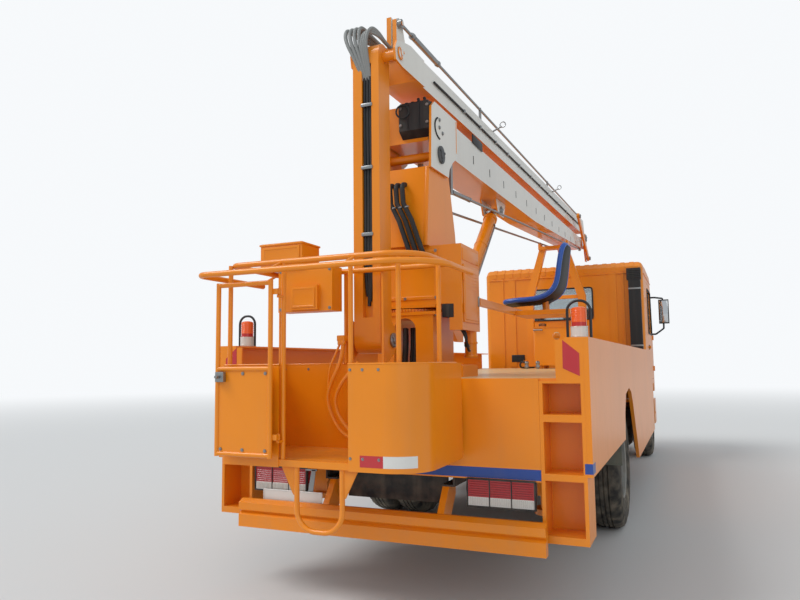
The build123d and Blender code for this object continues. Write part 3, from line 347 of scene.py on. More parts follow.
# %% [markdown]
# The modelling helpers come next. A piece starts as a cube, a cylinder or a drawn line at its true
# size and place, is shaped in edit mode, and gets its sharp edges softened by a bevel, because no
# real edge is perfectly sharp and a soft one catches the light. Like parts are made once, copied
# and joined, so that a row of bolts is one object.

# %% Modelling helpers
def joined(parts):
    """Several objects made one, selected and active."""
    deselect()
    for part in parts:
        part.select_set(True)
    bpy.context.view_layer.objects.active = parts[0]
    if len(parts) > 1:
        bpy.ops.object.join()
    return parts[0]


def changed(piece, kind, **settings):
    """Apply a modifier to a piece."""
    joined([piece])
    change = piece.modifiers.new(kind, kind)
    for key, value in settings.items():
        setattr(change, key, value)
    bpy.ops.object.modifier_apply(modifier=change.name)
    return piece


def soften(piece, width, steps=2):
    """Bevel the sharp edges by this width."""
    if not width:
        return piece
    return changed(piece, "BEVEL", width=width, segments=steps, limit_method="ANGLE", angle_limit=math.radians(35))


def settled():
    """The new piece, with its place and turn written into its mesh."""
    bpy.ops.object.transform_apply(location=True, rotation=True, scale=True)
    return bpy.context.active_object


def block(low, high, edge=0, steps=2):
    """A cube stretched between two corners, with softened edges."""
    deselect()
    low, high = at(low), at(high)
    bpy.ops.mesh.primitive_cube_add(size=1, location=[(a + b) / 2 for a, b in zip(low, high)],
                                    scale=[abs(b - a) for a, b in zip(low, high)])
    return soften(settled(), edge, steps)


def rod(start, end, radius, sides=24, edge=0, steps=2):
    """A cylinder between two points, with softened edges."""
    deselect()
    start, end = Vector(at(start)), Vector(at(end))
    line = end - start
    bpy.ops.mesh.primitive_cone_add(vertices=sides, radius1=radius, radius2=radius, depth=line.length,
                                    location=(start + end) / 2, rotation=line.to_track_quat("Z", "Y").to_euler())
    return soften(settled(), edge, steps)


def ball(centre, radius, scale=(1, 1, 1)):
    """A globe, which may be squashed."""
    deselect()
    bpy.ops.mesh.primitive_uv_sphere_add(segments=24, ring_count=14, radius=radius, location=at(centre), scale=scale)
    return settled()


def ring(centre, turn, radius, thick, around=40, section=8):
    """A thin ring; turn is the rotation that lays it down."""
    deselect()
    bpy.ops.mesh.primitive_torus_add(location=at(centre), rotation=turn, major_radius=radius, minor_radius=thick,
                                     major_segments=around, minor_segments=section)
    return settled()


def tube(points, radius, sides=3, smooth=True, closed=False):
    """A tube along points: a smooth line, or straight runs where smooth is False."""
    data = bpy.data.curves.new("line", "CURVE")
    data.dimensions = "3D"
    data.bevel_depth = radius
    data.bevel_resolution = sides
    data.use_fill_caps = True
    line = data.splines.new("NURBS" if smooth else "POLY")
    line.points.add(len(points) - 1)
    for spot, target in zip(line.points, points):
        spot.co = (*at(target), 1)
    line.use_cyclic_u = closed
    if smooth:
        line.order_u = 3
        line.use_endpoint_u = not closed
        line.resolution_u = 6
    made = bpy.data.objects.new("line", data)
    bpy.context.scene.collection.objects.link(made)
    joined([made])
    bpy.ops.object.convert(target="MESH")
    return bpy.context.active_object


def meshed(net):
    """A new object from a finished net of faces."""
    mesh = bpy.data.meshes.new("net")
    net.to_mesh(mesh)
    net.free()
    piece = bpy.data.objects.new("net", mesh)
    bpy.context.scene.collection.objects.link(piece)
    return piece


def flat(corners, shift, edge=0):
    """A flat plate: an outline of corners, thickened by a shift."""
    net = bmesh.new()
    face = net.faces.new([net.verts.new(at(corner)) for corner in corners])
    grown = bmesh.ops.extrude_face_region(net, geom=[face])
    bmesh.ops.translate(net, verts=[g for g in grown["geom"] if isinstance(g, bmesh.types.BMVert)], vec=shift)
    bmesh.ops.recalc_face_normals(net, faces=net.faces)
    return soften(meshed(net), edge)


def edit_faces(piece, wanted, action):
    """Select the faces that wanted() names and run an edit-mode action on them."""
    joined([piece])
    bpy.ops.object.mode_set(mode="EDIT")
    bpy.ops.mesh.select_mode(type="FACE")
    bpy.ops.mesh.select_all(action="DESELECT")
    bpy.ops.object.mode_set(mode="OBJECT")
    for face in piece.data.polygons:
        face.select = bool(wanted(face))
    bpy.ops.object.mode_set(mode="EDIT")
    action()
    bpy.ops.object.mode_set(mode="OBJECT")
    return piece


def sunk(piece, normal, border, depth, edge=0):
    """Inset the face that looks along normal, push its middle in, and soften the edges."""
    def action():
        bpy.ops.mesh.inset(thickness=border, depth=0)
        bpy.ops.mesh.inset(thickness=abs(depth) * 0.6, depth=depth)

    return soften(edit_faces(piece, lambda face: face.normal.dot(Vector(normal)) > 0.9, action), edge)


def copies(piece, moves):
    """The piece again after each move, a shift or a matrix, joined into one object."""
    made = [piece]
    for move in moves:
        twin = piece.copy()
        twin.data = piece.data.copy()
        twin.data.transform(move if isinstance(move, Matrix) else Matrix.Translation(move))
        bpy.context.scene.collection.objects.link(twin)
        made.append(twin)
    return joined(made)


def turned_copies(piece, centre, axis, count):
    """Copies of the piece round an axis, joined into one object."""
    centre = Vector(at(centre))
    there, back = Matrix.Translation(centre), Matrix.Translation(-centre)
    return copies(piece, [there @ Matrix.Rotation(2 * math.pi * step / count, 4, axis) @ back
                          for step in range(1, count)])


def fit(name, body, material, parts, stands_for=None):
    """Join a piece's parts, paint it, smooth its round faces, and name its body."""
    piece = joined(parts)
    piece.name = name
    piece.data.materials.clear()
    piece.data.materials.append(material)
    bpy.ops.object.shade_smooth_by_angle(angle=math.radians(35))
    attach(piece, body)
    if stands_for:
        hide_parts(stands_for)
    return piece


def bolt(place, way, size, height):
    """A hexagon bolt head on its washer. The direction uses the frame's axes, where ahead is -Y."""
    place, way = Vector(place), Vector((way[0], -way[1], way[2])).normalized()
    washer = rod(place - way * 0.001, place + way * height * 0.25, size * 1.35, 16)
    return joined([washer, rod(place, place + way * height, size, 6, size * 0.12, 1)])


def grid(across, d, heights):
    """Places on an upright plane: each height at each place across."""
    return [(x, d, z) for x in across for z in heights]


def bolt_row(name, body, places, way, size, height):
    """Bolt heads at many places, one object."""
    shifts = [Vector(at(spot)) - Vector(at(places[0])) for spot in places[1:]]
    return fit(name, body, steel, [copies(bolt(places[0], way, size, height), shifts)])


def pin_cap(x, pin, way, radius):
    """A round cap with its hub and bolts at a pin's end; pin is (distance ahead, height)."""
    d, z = pin
    disc = rod((x, d, z), (x + way * 0.012, d, z), radius, 32, 0.003)
    hub = rod((x + way * 0.010, d, z), (x + way * 0.018, d, z), radius * 0.45, 20, 0.002)
    heads = [bolt((x + way * 0.012, d - math.cos(a) * radius * 0.72, z + math.sin(a) * radius * 0.72),
                  (way, 0, 0), 0.009, 0.008) for a in (0.6, 2.7, 4.8)]
    return joined([disc, hub] + heads)


print("helpers ready")

# %% [markdown]
# The basket's sheets are folded over at the top and carry a red and white reflecting strip round
# the curved corner. A strip that follows a wall is a row of upright faces along the wall's plan,
# given a little thickness. The same plan makes the folded lip as a thin tube.

# %% Basket sheets: lip, reflecting strips, tread plate
BASKET_LEFT, BASKET_RIGHT = 0.658, -0.513
BASKET_REAR, BASKET_NEAR = -0.663, -0.117
CORNER, PANEL_TOP = 0.2, 1.42
STRIP_LOW, STRIP_HIGH, SKIN, FILM = 0.905, 0.963, 0.0028, 0.0012
CUT_BEHIND = 0.46


def corner_arc(radius):
    """The basket's round corner in plan: points at this radius round the corner's centre."""
    turns = [math.radians(degrees) for degrees in range(0, 91, 10)]
    return [(BASKET_RIGHT + CORNER - radius * math.sin(turn), BASKET_REAR + CORNER - radius * math.cos(turn))
            for turn in turns]


def upright_strip(plan):
    """A film that stands along a plan line between the strip's two heights."""
    net = bmesh.new()
    rows = [[net.verts.new(at((x, d, z))) for x, d in plan] for z in (STRIP_LOW, STRIP_HIGH)]
    for a in range(len(plan) - 1):
        net.faces.new((rows[0][a], rows[0][a + 1], rows[1][a + 1], rows[1][a]))
    strip = changed(meshed(net), "SOLIDIFY", thickness=FILM, offset=0)
    bpy.ops.object.mode_set(mode="EDIT")
    bpy.ops.mesh.select_all(action="SELECT")
    bpy.ops.mesh.normals_make_consistent(inside=False)
    bpy.ops.object.mode_set(mode="OBJECT")
    return strip


outer_arc = corner_arc(CORNER + SKIN)
straight = [(-0.184, BASKET_REAR - SKIN), (BASKET_RIGHT + CORNER, BASKET_REAR - SKIN)]
fit("basket_strip_red", "basket", red_film, [upright_strip(straight)])
fit("basket_strip_white", "basket", white_film, [upright_strip(outer_arc[:6])])
lip_plan = [(-0.118, BASKET_REAR)] + corner_arc(CORNER)
lip_plan += [(BASKET_RIGHT, BASKET_NEAR), (BASKET_LEFT, BASKET_NEAR), (BASKET_LEFT, BASKET_REAR), (0.3, BASKET_REAR)]
fit("basket_lip", "basket", orange, [tube([(x, d, PANEL_TOP) for x, d in lip_plan], 0.0055, smooth=False)])

mat = joined([block((-0.49, -0.14, 0.9203), (0.63, -0.635, 0.9235))])
bpy.ops.object.mode_set(mode="EDIT")
bpy.ops.mesh.select_all(action="SELECT")
bpy.ops.mesh.bisect(plane_co=(-0.49, TAIL + CUT_BEHIND, 0.92), plane_no=(-1, 1, 0), clear_outer=True, use_fill=True)
bpy.ops.object.mode_set(mode="OBJECT")
fit("basket_tread_plate", "basket", tread_plate, [mat])
print("basket sheets dressed, strip", round(outer_arc[5][0], 3))

# %% [markdown]
# Below the floor hangs a foot stirrup, held by two flared gussets. Each gusset is a flat plate
# that starts as a thin box, with two of its corners pushed inwards. The gate gets its latch, and
# the gate and the basket's sheets get rows of rivets.

# %% Stirrup gussets, gate latch and rivets
def gusset(near_x, far_x):
    """A flared plate under the basket's floor."""
    piece = block((min(near_x, far_x), -0.636, 0.74), (max(near_x, far_x), -0.644, 0.886))

    def slant():
        bpy.ops.mesh.select_all(action="DESELECT")
        bpy.ops.object.mode_set(mode="OBJECT")
        for vertex in piece.data.vertices:
            vertex.select = vertex.co.z < 0.75 and abs(vertex.co.x - far_x) < 0.001
        bpy.ops.object.mode_set(mode="EDIT")
        bpy.ops.mesh.select_mode(type="VERT")
        bpy.ops.transform.translate(value=((near_x - far_x) * 0.85, 0, 0))

    return soften(edit_faces(piece, lambda face: True, slant), 0.0015)


fit("stirrup_gussets", "basket", orange, [gusset(0.208, 0.295), gusset(-0.078, -0.165)])
GATE = -0.722
latch = block((0.600, GATE - 0.006, 1.33), (0.655, GATE - 0.03, 1.385), 0.003)
knob = rod((0.628, GATE - 0.028, 1.358), (0.628, GATE - 0.06, 1.358), 0.009, 20, 0.002)
fit("gate_latch", "basket_gate", steel, [latch, knob])
bolt_row("gate_rivets", "basket_gate", grid((0.345, 0.49, 0.633), GATE - 0.0035, (0.97, 1.375)), REARWARD, 0.007, 0.004)
rivets = grid((-0.29, -0.2, -0.13), BASKET_REAR - 0.0025, (0.945, 1.39))
rivets += grid((-0.45, -0.3, -0.15, 0.25, 0.45, 0.62), BASKET_NEAR - 0.0025, (0.91, 1.39))
bolt_row("basket_rivets", "basket", rivets, REARWARD, 0.006, 0.004)
print("stirrup, latch and rivets made")

# %% [markdown]
# The control box is two folded steel cases, with a lid on the upper one and a raised plate on the
# lower. Sunk panels and small bolts turn plain boxes into folded sheet.

# %% Control box
lid = sunk(block((0.378, -0.094, 2.147), (0.690, -0.308, 2.159), 0.003), (0, 0, 1), 0.012, -0.003)
door = sunk(block((0.402, -0.299, 2.014), (0.668, -0.306, 2.138)), REARWARD, 0.014, -0.003, 0.0015)
plate = sunk(block((0.290, -0.309, 1.757), (0.450, -0.314, 1.877)), REARWARD, 0.01, -0.002, 0.0015)
fit("control_box_panels", "basket", orange, [lid, door, plate])
bolt_row("control_box_bolts", "basket", grid((0.205, 0.545), -0.2855, (1.752, 1.982)), REARWARD, 0.007, 0.005)
print("control box dressed")

# %% [markdown]
# The fly arm carries hoses in an open channel, held by grey straps, and at its head they fan out and
# arc over to the boom. The arcs cross the joint from the arm to the boom; they are one piece, fixed
# in place and given no body. Each hose is one smooth curve.

# %% Fly arm: straps, pin caps, hose arcs
ARM_FACE = -0.08
bundle = [tube([(x, -0.060, 3.24), (x + 0.002, -0.062, 2.9), (x - 0.002, -0.060, 2.5), (x + 0.001, -0.062, 2.1),
                (x * 0.9 + 0.006, -0.058, 1.90), (x * 0.4 + 0.04, -0.046, low)], 0.0105, 2)
          for x, low in ((0.0335, 1.80), (0.0545, 1.77), (0.0765, 1.83))]
bundle += [tube([(x, -0.046, 3.24), (x, -0.046, 1.84)], 0.0105, 2, False) for x in (0.044, 0.066)]
fit("arm_bundle", "fly_arm", hose_rubber, bundle, stands_for="arm_hoses")
fit("arm_straps", "fly_arm", steel, [block((0.016, ARM_FACE + 0.01, z), (0.094, ARM_FACE - 0.006, z + 0.022), 0.003)
                                     for z in (2.20, 2.62, 3.02)])


def pin_caps(name, body, material, ends, pins, radius):
    """Caps on both ends of the pins; ends are the right and the left end across."""
    return fit(name, body, material, [pin_cap(x, pin, way, radius) for x, way in zip(ends, SIDES) for pin in pins])


pin_caps("arm_pin_caps", "upper_boom", boom_white, (-0.144, 0.173), [(0, 3.36)], 0.042)
pin_caps("basket_pin_caps", "basket", steel, (-0.073, 0.193), [(0, 1.56)], 0.045)

fan = []
for n in range(4):
    x = 0.105 + 0.032 * n
    fan.append(tube([(0.05 + 0.012 * n, -0.055, 3.20), (0.07 + 0.018 * n, -0.085, 3.32), (x, -0.095, 3.48),
                     (x, -0.06, 3.572), (x - 0.03, 0.03, 3.535), (0.02, 0.13, 3.475), (0.0, 0.22, 3.47)], 0.0125, 2))
for n in range(3):
    fan.append(tube([(0.035 + 0.010 * n, -0.060, 3.22), (0.050 + 0.012 * n, -0.10, 3.38),
                     (0.045 + 0.016 * n, -0.10, 3.48), (0.016 + 0.01 * n, -0.085, 3.532 - 0.012 * n),
                     (-0.01, -0.03, 3.515 - 0.010 * n), (-0.02, 0.06, 3.475), (-0.03, 0.20, 3.465)], 0.0115, 2))
arcs = joined(fan)
arcs.name = "hose_arcs"
arcs.data.materials.clear()
arcs.data.materials.append(grey_hose)
bpy.ops.object.shade_smooth_by_angle(angle=math.radians(60))
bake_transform(arcs)
print("arm dressed, hoses reach", round(max(v.co.z for v in arcs.data.vertices), 3))

# %% [markdown]
# The lower boom's flank shows a row of drain slots, half a metre apart, and the big pins have
# caps with bolts. The slots are shallow dark inlays that follow the boom's slope: painted shade
# standing for the holes. The upper boom carries a conduit along its flank with clips, and two
# brackets with a guide ring each.

# %% Boom flanks: painted slot shades, caps, conduit, guides
FIRST_SLOT, SLOT_STEP, SLOT_HEIGHT, BOOM_RISE = 1.478, 0.486, 3.088, 0.0325
FOOT_BOLTS = ((0.527, 3.098), (0.524, 3.043), (0.587, 3.020))
# Each slot is a thin dark block on the flank: painted shade for the drain slot's hole.
slot_shades = []
for side in SIDES:
    for step in range(12):
        d = FIRST_SLOT + SLOT_STEP * step
        z = SLOT_HEIGHT + BOOM_RISE * (d - FIRST_SLOT)
        slot_shades.append(block((side * 0.1545 - 0.002, d + 0.009, z - 0.035), (side * 0.1545 + 0.002, d - 0.009, z + 0.035),
                           0.0035))
fit("boom_slot_shades", "lower_boom", plastic, slot_shades)
pin_caps("boom_foot_caps", "lower_boom", cast, (-0.207, 0.207), [(0.54, 2.852)], 0.062)
pin_caps("elbow_caps", "lower_boom", steel, (-0.1705, 0.1705), [(7.85, 3.51)], 0.06)
for side, hand in zip(SIDES, ("right", "left")):
    bolt_row("foot_plate_bolts_" + hand, "lower_boom", [(side * 0.2065, d, z) for d, z in FOOT_BOLTS], (side, 0, 0),
             0.011, 0.009)


def on_upper(x, d, rise):
    """A point beside the upper boom, told by its height above the boom's lower edge."""
    return (x, d, 3.301 + (d - 0.29) / 7.45 * 0.272 + rise)


conduit = tube([on_upper(-0.139, d, 0.105) for d in (0.62, 0.9, 2.5, 5, 7.2, 7.45)], 0.0085)
fit("boom_conduit", "upper_boom", plastic, [conduit])
fit("conduit_clips", "upper_boom", steel,
    [block((-0.151, d + 0.014, on_upper(0, d, 0.09)[2]), (-0.1305, d - 0.014, on_upper(0, d, 0.12)[2]), 0.003)
     for d in (1.3, 1.75, 2.25, 2.7, 3.2, 3.75, 4.25, 4.75, 5.4, 6.1, 6.8)])
guides = []
for d in (2.2, 5.1):
    guides += [rod(on_upper(-0.131, d, 0.2), on_upper(-0.215, d, 0.235), 0.008),
               ring(on_upper(-0.225, d, 0.25), (QUARTER, 0, 0), 0.026, 0.005, 28)]
fit("rope_guides", "upper_boom", steel, guides)
fit("boom_rest_clamp", "lower_boom", black_frame, [block((-0.166, 1.72, 3.225), (-0.156, 1.44, 3.30), 0.004)])
print("boom flanks dressed")

# %% [markdown]
# A tyre is one section turned about its axle. Three grooves run round the tread, and every third
# step of the turn sinks the shoulders, which leaves blocks between cross grooves. It could be a
# plain torus with a bump, but real blocks give the tyre its ragged edge against the ground.

# %% Tyres, nuts and hubs
TYRE_RADIUS, REAR_AXLE, FRONT_AXLE = 0.509, 2.45, 7.15
TREAD = [(-0.0675, TYRE_RADIUS)]
for groove in (-0.036, 0.0, 0.036):
    TREAD += [(groove - 0.006, TYRE_RADIUS), (groove - 0.004, 0.498), (groove + 0.004, 0.498),
              (groove + 0.006, TYRE_RADIUS)]
SIDE_WALL = [(-0.1095, 0.264), (-0.121, 0.29), (-0.1275, 0.345), (-0.129, 0.347), (-0.129, 0.352), (-0.1275, 0.354),
             (-0.1275, 0.425), (-0.129, 0.427), (-0.129, 0.431), (-0.1265, 0.434), (-0.118, 0.47), (-0.105, 0.492)]
TYRE_SECTION = SIDE_WALL + TREAD + [(0.0675, TYRE_RADIUS)] + [(-x, r) for x, r in reversed(SIDE_WALL)]


def turned_tyre(x, d, steps=120):
    """The tyre section swept round the axle, with sunk shoulders every third step."""
    net = bmesh.new()
    rows = []
    for step in range(steps):
        angle = 2 * math.pi * step / steps - math.pi / 2
        drop = 0.009 if step % 3 == 1 else 0.0
        row = []
        for across, radius in TYRE_SECTION:
            far = radius - (drop if abs(across) > 0.05 and radius > 0.48 else 0)
            row.append(net.verts.new(at((x + across, d - far * math.cos(angle), TYRE_RADIUS + far * math.sin(angle)))))
        rows.append(row)
    for here, following in zip(rows, rows[1:] + rows[:1]):
        for a in range(len(TYRE_SECTION)):
            b = (a + 1) % len(TYRE_SECTION)
            net.faces.new((here[a], here[b], following[b], following[a]))
    bmesh.ops.recalc_face_normals(net, faces=net.faces)
    return meshed(net)


# corner, side, place ahead, tyre middles, the disc's outer face, the hub's outer end
WHEELS = (("front_left", 1, FRONT_AXLE, (1.01,), 1.082, 1.125), ("front_right", -1, FRONT_AXLE, (1.01,), 1.082, 1.125),
          ("rear_left", 1, REAR_AXLE, (0.74, 1.03), 0.897, 1.06),
          ("rear_right", -1, REAR_AXLE, (0.74, 1.03), 0.897, 1.06))
for corner, side, d, middles, disc_face, hub_end in WHEELS:
    body, out = "wheel_" + corner, (side, 0, 0)
    fit("tread_" + corner, body, tyre_rubber, [turned_tyre(side * x, d) for x in middles], stands_for="tyre_" + corner)
    nut = bolt((side * disc_face, d, TYRE_RADIUS + 0.131), out, 0.015, 0.022)
    fit("wheel_nuts_" + corner, body, steel, [turned_copies(nut, (side * disc_face, d, TYRE_RADIUS), "X", 10)])
    cap = rod((side * hub_end, d, TYRE_RADIUS), (side * (hub_end + 0.011), d, TYRE_RADIUS), 0.082, 40, 0.004)
    stud = bolt((side * (hub_end + 0.01), d, TYRE_RADIUS + 0.064), out, 0.008, 0.007)
    studs = turned_copies(stud, (side * hub_end, d, TYRE_RADIUS), "X", 8)
    edge = ring((side * (middles[-1] + 0.1065), d, TYRE_RADIUS), (0, QUARTER, 0), 0.256, 0.007, 64, 10)
    fit("hub_cap_" + corner, body, rim_paint, [cap, studs, edge])
print("tyres", len(TYRE_SECTION), "points a section")

# %% [markdown]
# The tail carries the lamps, the red marks on the corners, a blank number plate and the beacons. A
# lamp lens is full of small ribs that catch the light, so a row of thin upright bars stands on it.
# The corner marks are flat films: an outline of corners, thickened a little.

# %% Tail lamps, marks and beacons
LAMP_LOW, LAMP_HIGH, LAMP_FACE = 0.620, 0.762, -0.017
MARK = ((1.087, 1.537), (1.175, 1.464), (1.174, 1.341), (1.085, 1.383))
BEACON_RINGS = ((1.562, 0.0485), (1.616, 0.0485), (1.65, 0.0425), (1.664, 0.0425), (1.678, 0.0425), (1.692, 0.0425),
                (1.706, 0.0425))


def frame_of(x0, x1, z0, z1, face, bar, depth):
    """Four bars round an upright opening that looks to the rear."""
    spans = [(x0 - bar, x1 + bar, a, b) for a, b in ((z0 - bar, z0), (z1, z1 + bar))]
    spans += [(a, b, z0, z1) for a, b in ((x0 - bar, x0), (x1, x1 + bar))]
    return joined([block((a, face + depth, low), (b, face, high), 0.002) for a, b, low, high in spans])


bezels, white_ribs, red_ribs, rings = [], [], [], []
for side in SIDES:
    x0, x1 = sorted((side * 0.535, side * 0.910))
    bezels.append(frame_of(x0, x1, LAMP_LOW, LAMP_HIGH, LAMP_FACE, 0.009, 0.026))
    bezels += [block((x - 0.003, -0.010, LAMP_LOW), (x + 0.003, -0.016, LAMP_HIGH)) for x in (x0 + 0.125, x0 + 0.25)]
    rib = block((x0 + 0.006, -0.011, 0.624), (x0 + 0.011, -0.0155, 0.664), 0.0015, 1)
    white_ribs.append(copies(rib, [(0.0104 * n, 0, 0) for n in range(1, 35)]))
    rib = block((x0 + 0.008, -0.011, 0.674), (x0 + 0.118, -0.0145, 0.679), 0.0015, 1)
    rows = copies(rib, [(0, 0, 0.0125 * n) for n in range(1, 7)])
    red_ribs.append(copies(rows, [(0.1255, 0, 0), (0.251, 0, 0)]))
    rings += [ring((side * 1.15, 0.2, z), (0, 0, 0), radius, 0.0022, 40, 6) for z, radius in BEACON_RINGS]
    rings.append(ball((side * 1.15, 0.2, 1.719), 0.041, (1, 1, 0.3)))
fit("lamp_bezels", "chassis", plastic, bezels)
fit("clear_lens_ribs", "chassis", clear_rib, white_ribs)
fit("red_lens_ribs", "chassis", red_rib, red_ribs)
fit("beacon_rings", "chassis", beacon_lens, rings)
marks = [flat([(side * x, -0.0012, z) for x, z in MARK], (0, 0.0016, 0)) for side in SIDES]
fit("corner_marks", "chassis", red_film, marks)
plate = sunk(block((0.405, -0.026, 0.495), (0.842, -0.0285, 0.628), 0.0008), REARWARD, 0.006, -0.0008)
fit("blank_plate", "chassis", white_film, [plate])
stay = flat([(x, -0.022, z) for x, z in ((0.455, 0.764), (0.486, 0.764), (0.53, 0.53), (0.49, 0.53))],
            (0, -0.004, 0), 0.001)
fit("plate_stay", "chassis", steel, [stay, block((0.45, -0.012, 0.756), (0.53, -0.022, 0.766))])
print("tail dressed")

# %% [markdown]
# The machinery box has an inset service door, louvres and a run of bolts, the slewing ring has teeth,
# and a small motor under the box drives it. Teeth are one block copied round the axis.

# %% Machinery box, slewing ring and motor
SLEW_AXIS, MOTOR = 0.555, -0.357
PORTS = ((1.50, -0.012), (1.53, 0.012))
door = sunk(block((-0.4065, 0.715, 1.68), (-0.4005, 0.385, 2.06)), (-1, 0, 0), 0.016, 0.004, 0.002)
lid = block((-0.404, 0.722, 2.085), (-0.3995, 0.378, 2.165), 0.002)
hinges = [rod((-0.407, 0.386, z), (-0.407, 0.386, z + 0.06), 0.007, 16) for z in (1.74, 1.95)]
fit("service_door", "turntable", orange, [door, lid] + hinges)
louvre = block((-0.412, 0.66, 1.9), (-0.406, 0.44, 1.908), 0.002)
fit("louvres", "turntable", orange, [copies(louvre, [(0, 0, 0.022 * n) for n in range(1, 6)])])
fit("door_handle", "turntable", steel, [block((-0.418, 0.69, 1.80), (-0.405, 0.672, 1.87), 0.003)])
# A thin black plate on the rear face: painted shade standing for the dark pocket of the hose opening.
fit("hose_opening_shade", "turntable", black_frame, [block((-0.342, 0.361, 1.712), (-0.262, 0.358, 1.80), 0.004)])
cover = sunk(block((-0.235, 0.3595, 1.835), (0.225, 0.354, 2.165)), REARWARD, 0.02, -0.003, 0.002)
fit("rear_cover", "turntable", orange, [cover])
bolt_row("rear_cover_bolts", "turntable", grid((-0.225, -0.005, 0.215), 0.3535, (1.845, 2.155)), REARWARD, 0.008, 0.006)
cover = sunk(block((0.2505, 0.72, 1.83), (0.256, 0.38, 2.16)), (1, 0, 0), 0.02, -0.003, 0.002)
fit("side_cover", "turntable", orange, [cover])

tooth = block((0.204, SLEW_AXIS + 0.006, 1.7575), (0.214, SLEW_AXIS - 0.006, 1.7765), 0.002, 1)
fit("ring_teeth", "chassis", orange, [turned_copies(tooth, (0, SLEW_AXIS, 1.767), "Z", 64)])
under_ring = [(x, SLEW_AXIS - y, 1.7355) for x in (-0.208, 0.208) for y in (-0.17, -0.09, 0.09, 0.17)]
bolt_row("flange_bolts", "chassis", under_ring, (0, 0, -1), 0.009, 0.008)

cap = rod((MOTOR, 0.66, 1.452), (MOTOR, 0.66, 1.475), 0.046, 32, 0.004)
collar = rod((MOTOR, 0.66, 1.545), (MOTOR, 0.66, 1.56), 0.046, 32, 0.003)
fit("motor_body", "turntable", orange, [cap, collar])
fit("motor_ports", "turntable", steel, [rod((MOTOR, 0.62, z), (MOTOR + dx, 0.585, z), 0.012, 6, 0.002)
                                        for z, dx in PORTS])
fit("motor_hoses", "turntable", hose_rubber,
    [tube([(MOTOR + dx, 0.59, z), (-0.365 + dx, 0.54, z), (-0.385, 0.50, z + 0.04), (-0.37, 0.47, z + 0.12),
           (-0.34, 0.46, 1.66)], 0.0085) for z, dx in PORTS])
print("machinery box dressed")

# %% [markdown]
# The tower has stiffening edges on its sunk rear face, and thin steel ties hold the black hoses
# that drop down it. Above it the boom's foot carries the black valve cover, with its ribs, glands
# and a hanging loop of hose, and the white foot plates show an arc slot and a weld seam each. The
# arc slot is a dark tube: painted shade standing for the slot's opening.

# %% Tower, valve cover and foot plates
COVER_RIB = ((0.372, 3.01), (0.366, 3.18), (0.372, 3.19), (0.378, 3.0))
SLOT_LINE = ((0.487, 3.100), (0.448, 3.078), (0.428, 3.030), (0.445, 2.988), (0.485, 2.965), (0.523, 2.961))
fit("tower_edges", "turntable", orange,
    [flat([(side * 0.186, 0.312, 2.19), (side * 0.186, 0.370, 2.735), (side * 0.158, 0.370, 2.735),
           (side * 0.158, 0.312, 2.19)], (0, -0.006, 0), 0.0015) for side in SIDES])
fit("hose_ties", "turntable", steel, [rod((x, 0.296, 2.452), (x - 0.003, 0.296, 2.444), 0.0185, 20, 0.001)
                                      for x in (-0.047, -0.002, 0.043)])

ribs = [flat([(x, d, z) for d, z in COVER_RIB], (0.006, 0, 0)) for x in (-0.12, -0.035)]
top = block((-0.182, 0.43, 3.186), (0.028, 0.375, 3.196), 0.004)
glands = [rod((x, 0.405, 3.19), (x, 0.405, 3.207), 0.015, 12, 0.003) for x in (-0.15, -0.105, -0.06, -0.015)]
fit("valve_ribs", "lower_boom", plastic, ribs + [top] + glands)
bolt_row("valve_bolts", "lower_boom", grid((-0.175, 0.02), 0.3695, (3.04, 3.16)), (0, 1, 0.03), 0.008, 0.006)
runs = [tube([(x, 0.405, 3.205), (x, 0.402, 3.222), (x + 0.02, 0.43, 3.232), (x + 0.02, 0.50, 3.228),
              (x + 0.02, 0.62, 3.228)], 0.009) for x in (-0.15, -0.105)]
fit("valve_hoses", "lower_boom", hose_rubber, runs + [ring((0, 0.362, 3.135), (QUARTER, 0.35, 0.2), 0.045, 0.006)])
# A dark tube along each slot line: painted shade standing for the arc slot's opening.
fit("arc_slot_shades", "lower_boom", plastic,
    [tube([(side * 0.2068, d, z) for d, z in SLOT_LINE], 0.007, 2) for side in SIDES])
fit("foot_welds", "lower_boom", boom_white,
    [tube([(side * 0.2065, 0.889, z) for z in (2.965, 3.205)], 0.0045, 2, False) for side in SIDES])
print("tower and boom foot dressed")

# %% [markdown]
# The operator's seat is a moulded shell: a grid of points that follows the side view, dished across,
# thickened, and smoothed by subdivision. A blue front and a dark back meet under one rolled rim; the
# dark back is painted shade on the shadowed underside of the blue shell.

# %% The moulded seat
SEAT_PLACE, COLUMNS = 1.95, 5
# across, height and half width, from the seat's front edge to the top of its back
SEAT_LINE = ((-0.298, 1.926, 0.150), (-0.33, 1.930, 0.175), (-0.40, 1.936, 0.190), (-0.51, 1.938, 0.196),
             (-0.60, 1.945, 0.196), (-0.684, 1.980, 0.196), (-0.736, 2.04, 0.194), (-0.757, 2.118, 0.190),
             (-0.767, 2.198, 0.186), (-0.780, 2.282, 0.176), (-0.790, 2.340, 0.160), (-0.806, 2.392, 0.115))
LAST = len(SEAT_LINE) - 1


def seat_point(index, share, push):
    """A point of the shell: index along the side view, share across, pushed away from the sitter."""
    before, after = SEAT_LINE[max(index - 1, 0)], SEAT_LINE[min(index + 1, LAST)]
    run = Vector((after[0] - before[0], 0, after[1] - before[1])).normalized()
    x, z, half = SEAT_LINE[index]
    return Vector((x, SEAT_PLACE - half * share, z)) + Vector((run.z, 0, -run.x)) * (0.020 * (share ** 4 - 1) - push)


def seat_shell(push):
    """One skin of the seat, thickened and smoothed."""
    net = bmesh.new()
    rows = [[net.verts.new(at(seat_point(index, column / COLUMNS, push))) for column in range(-COLUMNS, COLUMNS + 1)]
            for index in range(LAST + 1)]
    for low, high in zip(rows, rows[1:]):
        for a in range(2 * COLUMNS):
            net.faces.new((low[a], low[a + 1], high[a + 1], high[a]))
    return changed(changed(meshed(net), "SOLIDIFY", thickness=0.008, offset=0), "SUBSURF", levels=2, render_levels=2)


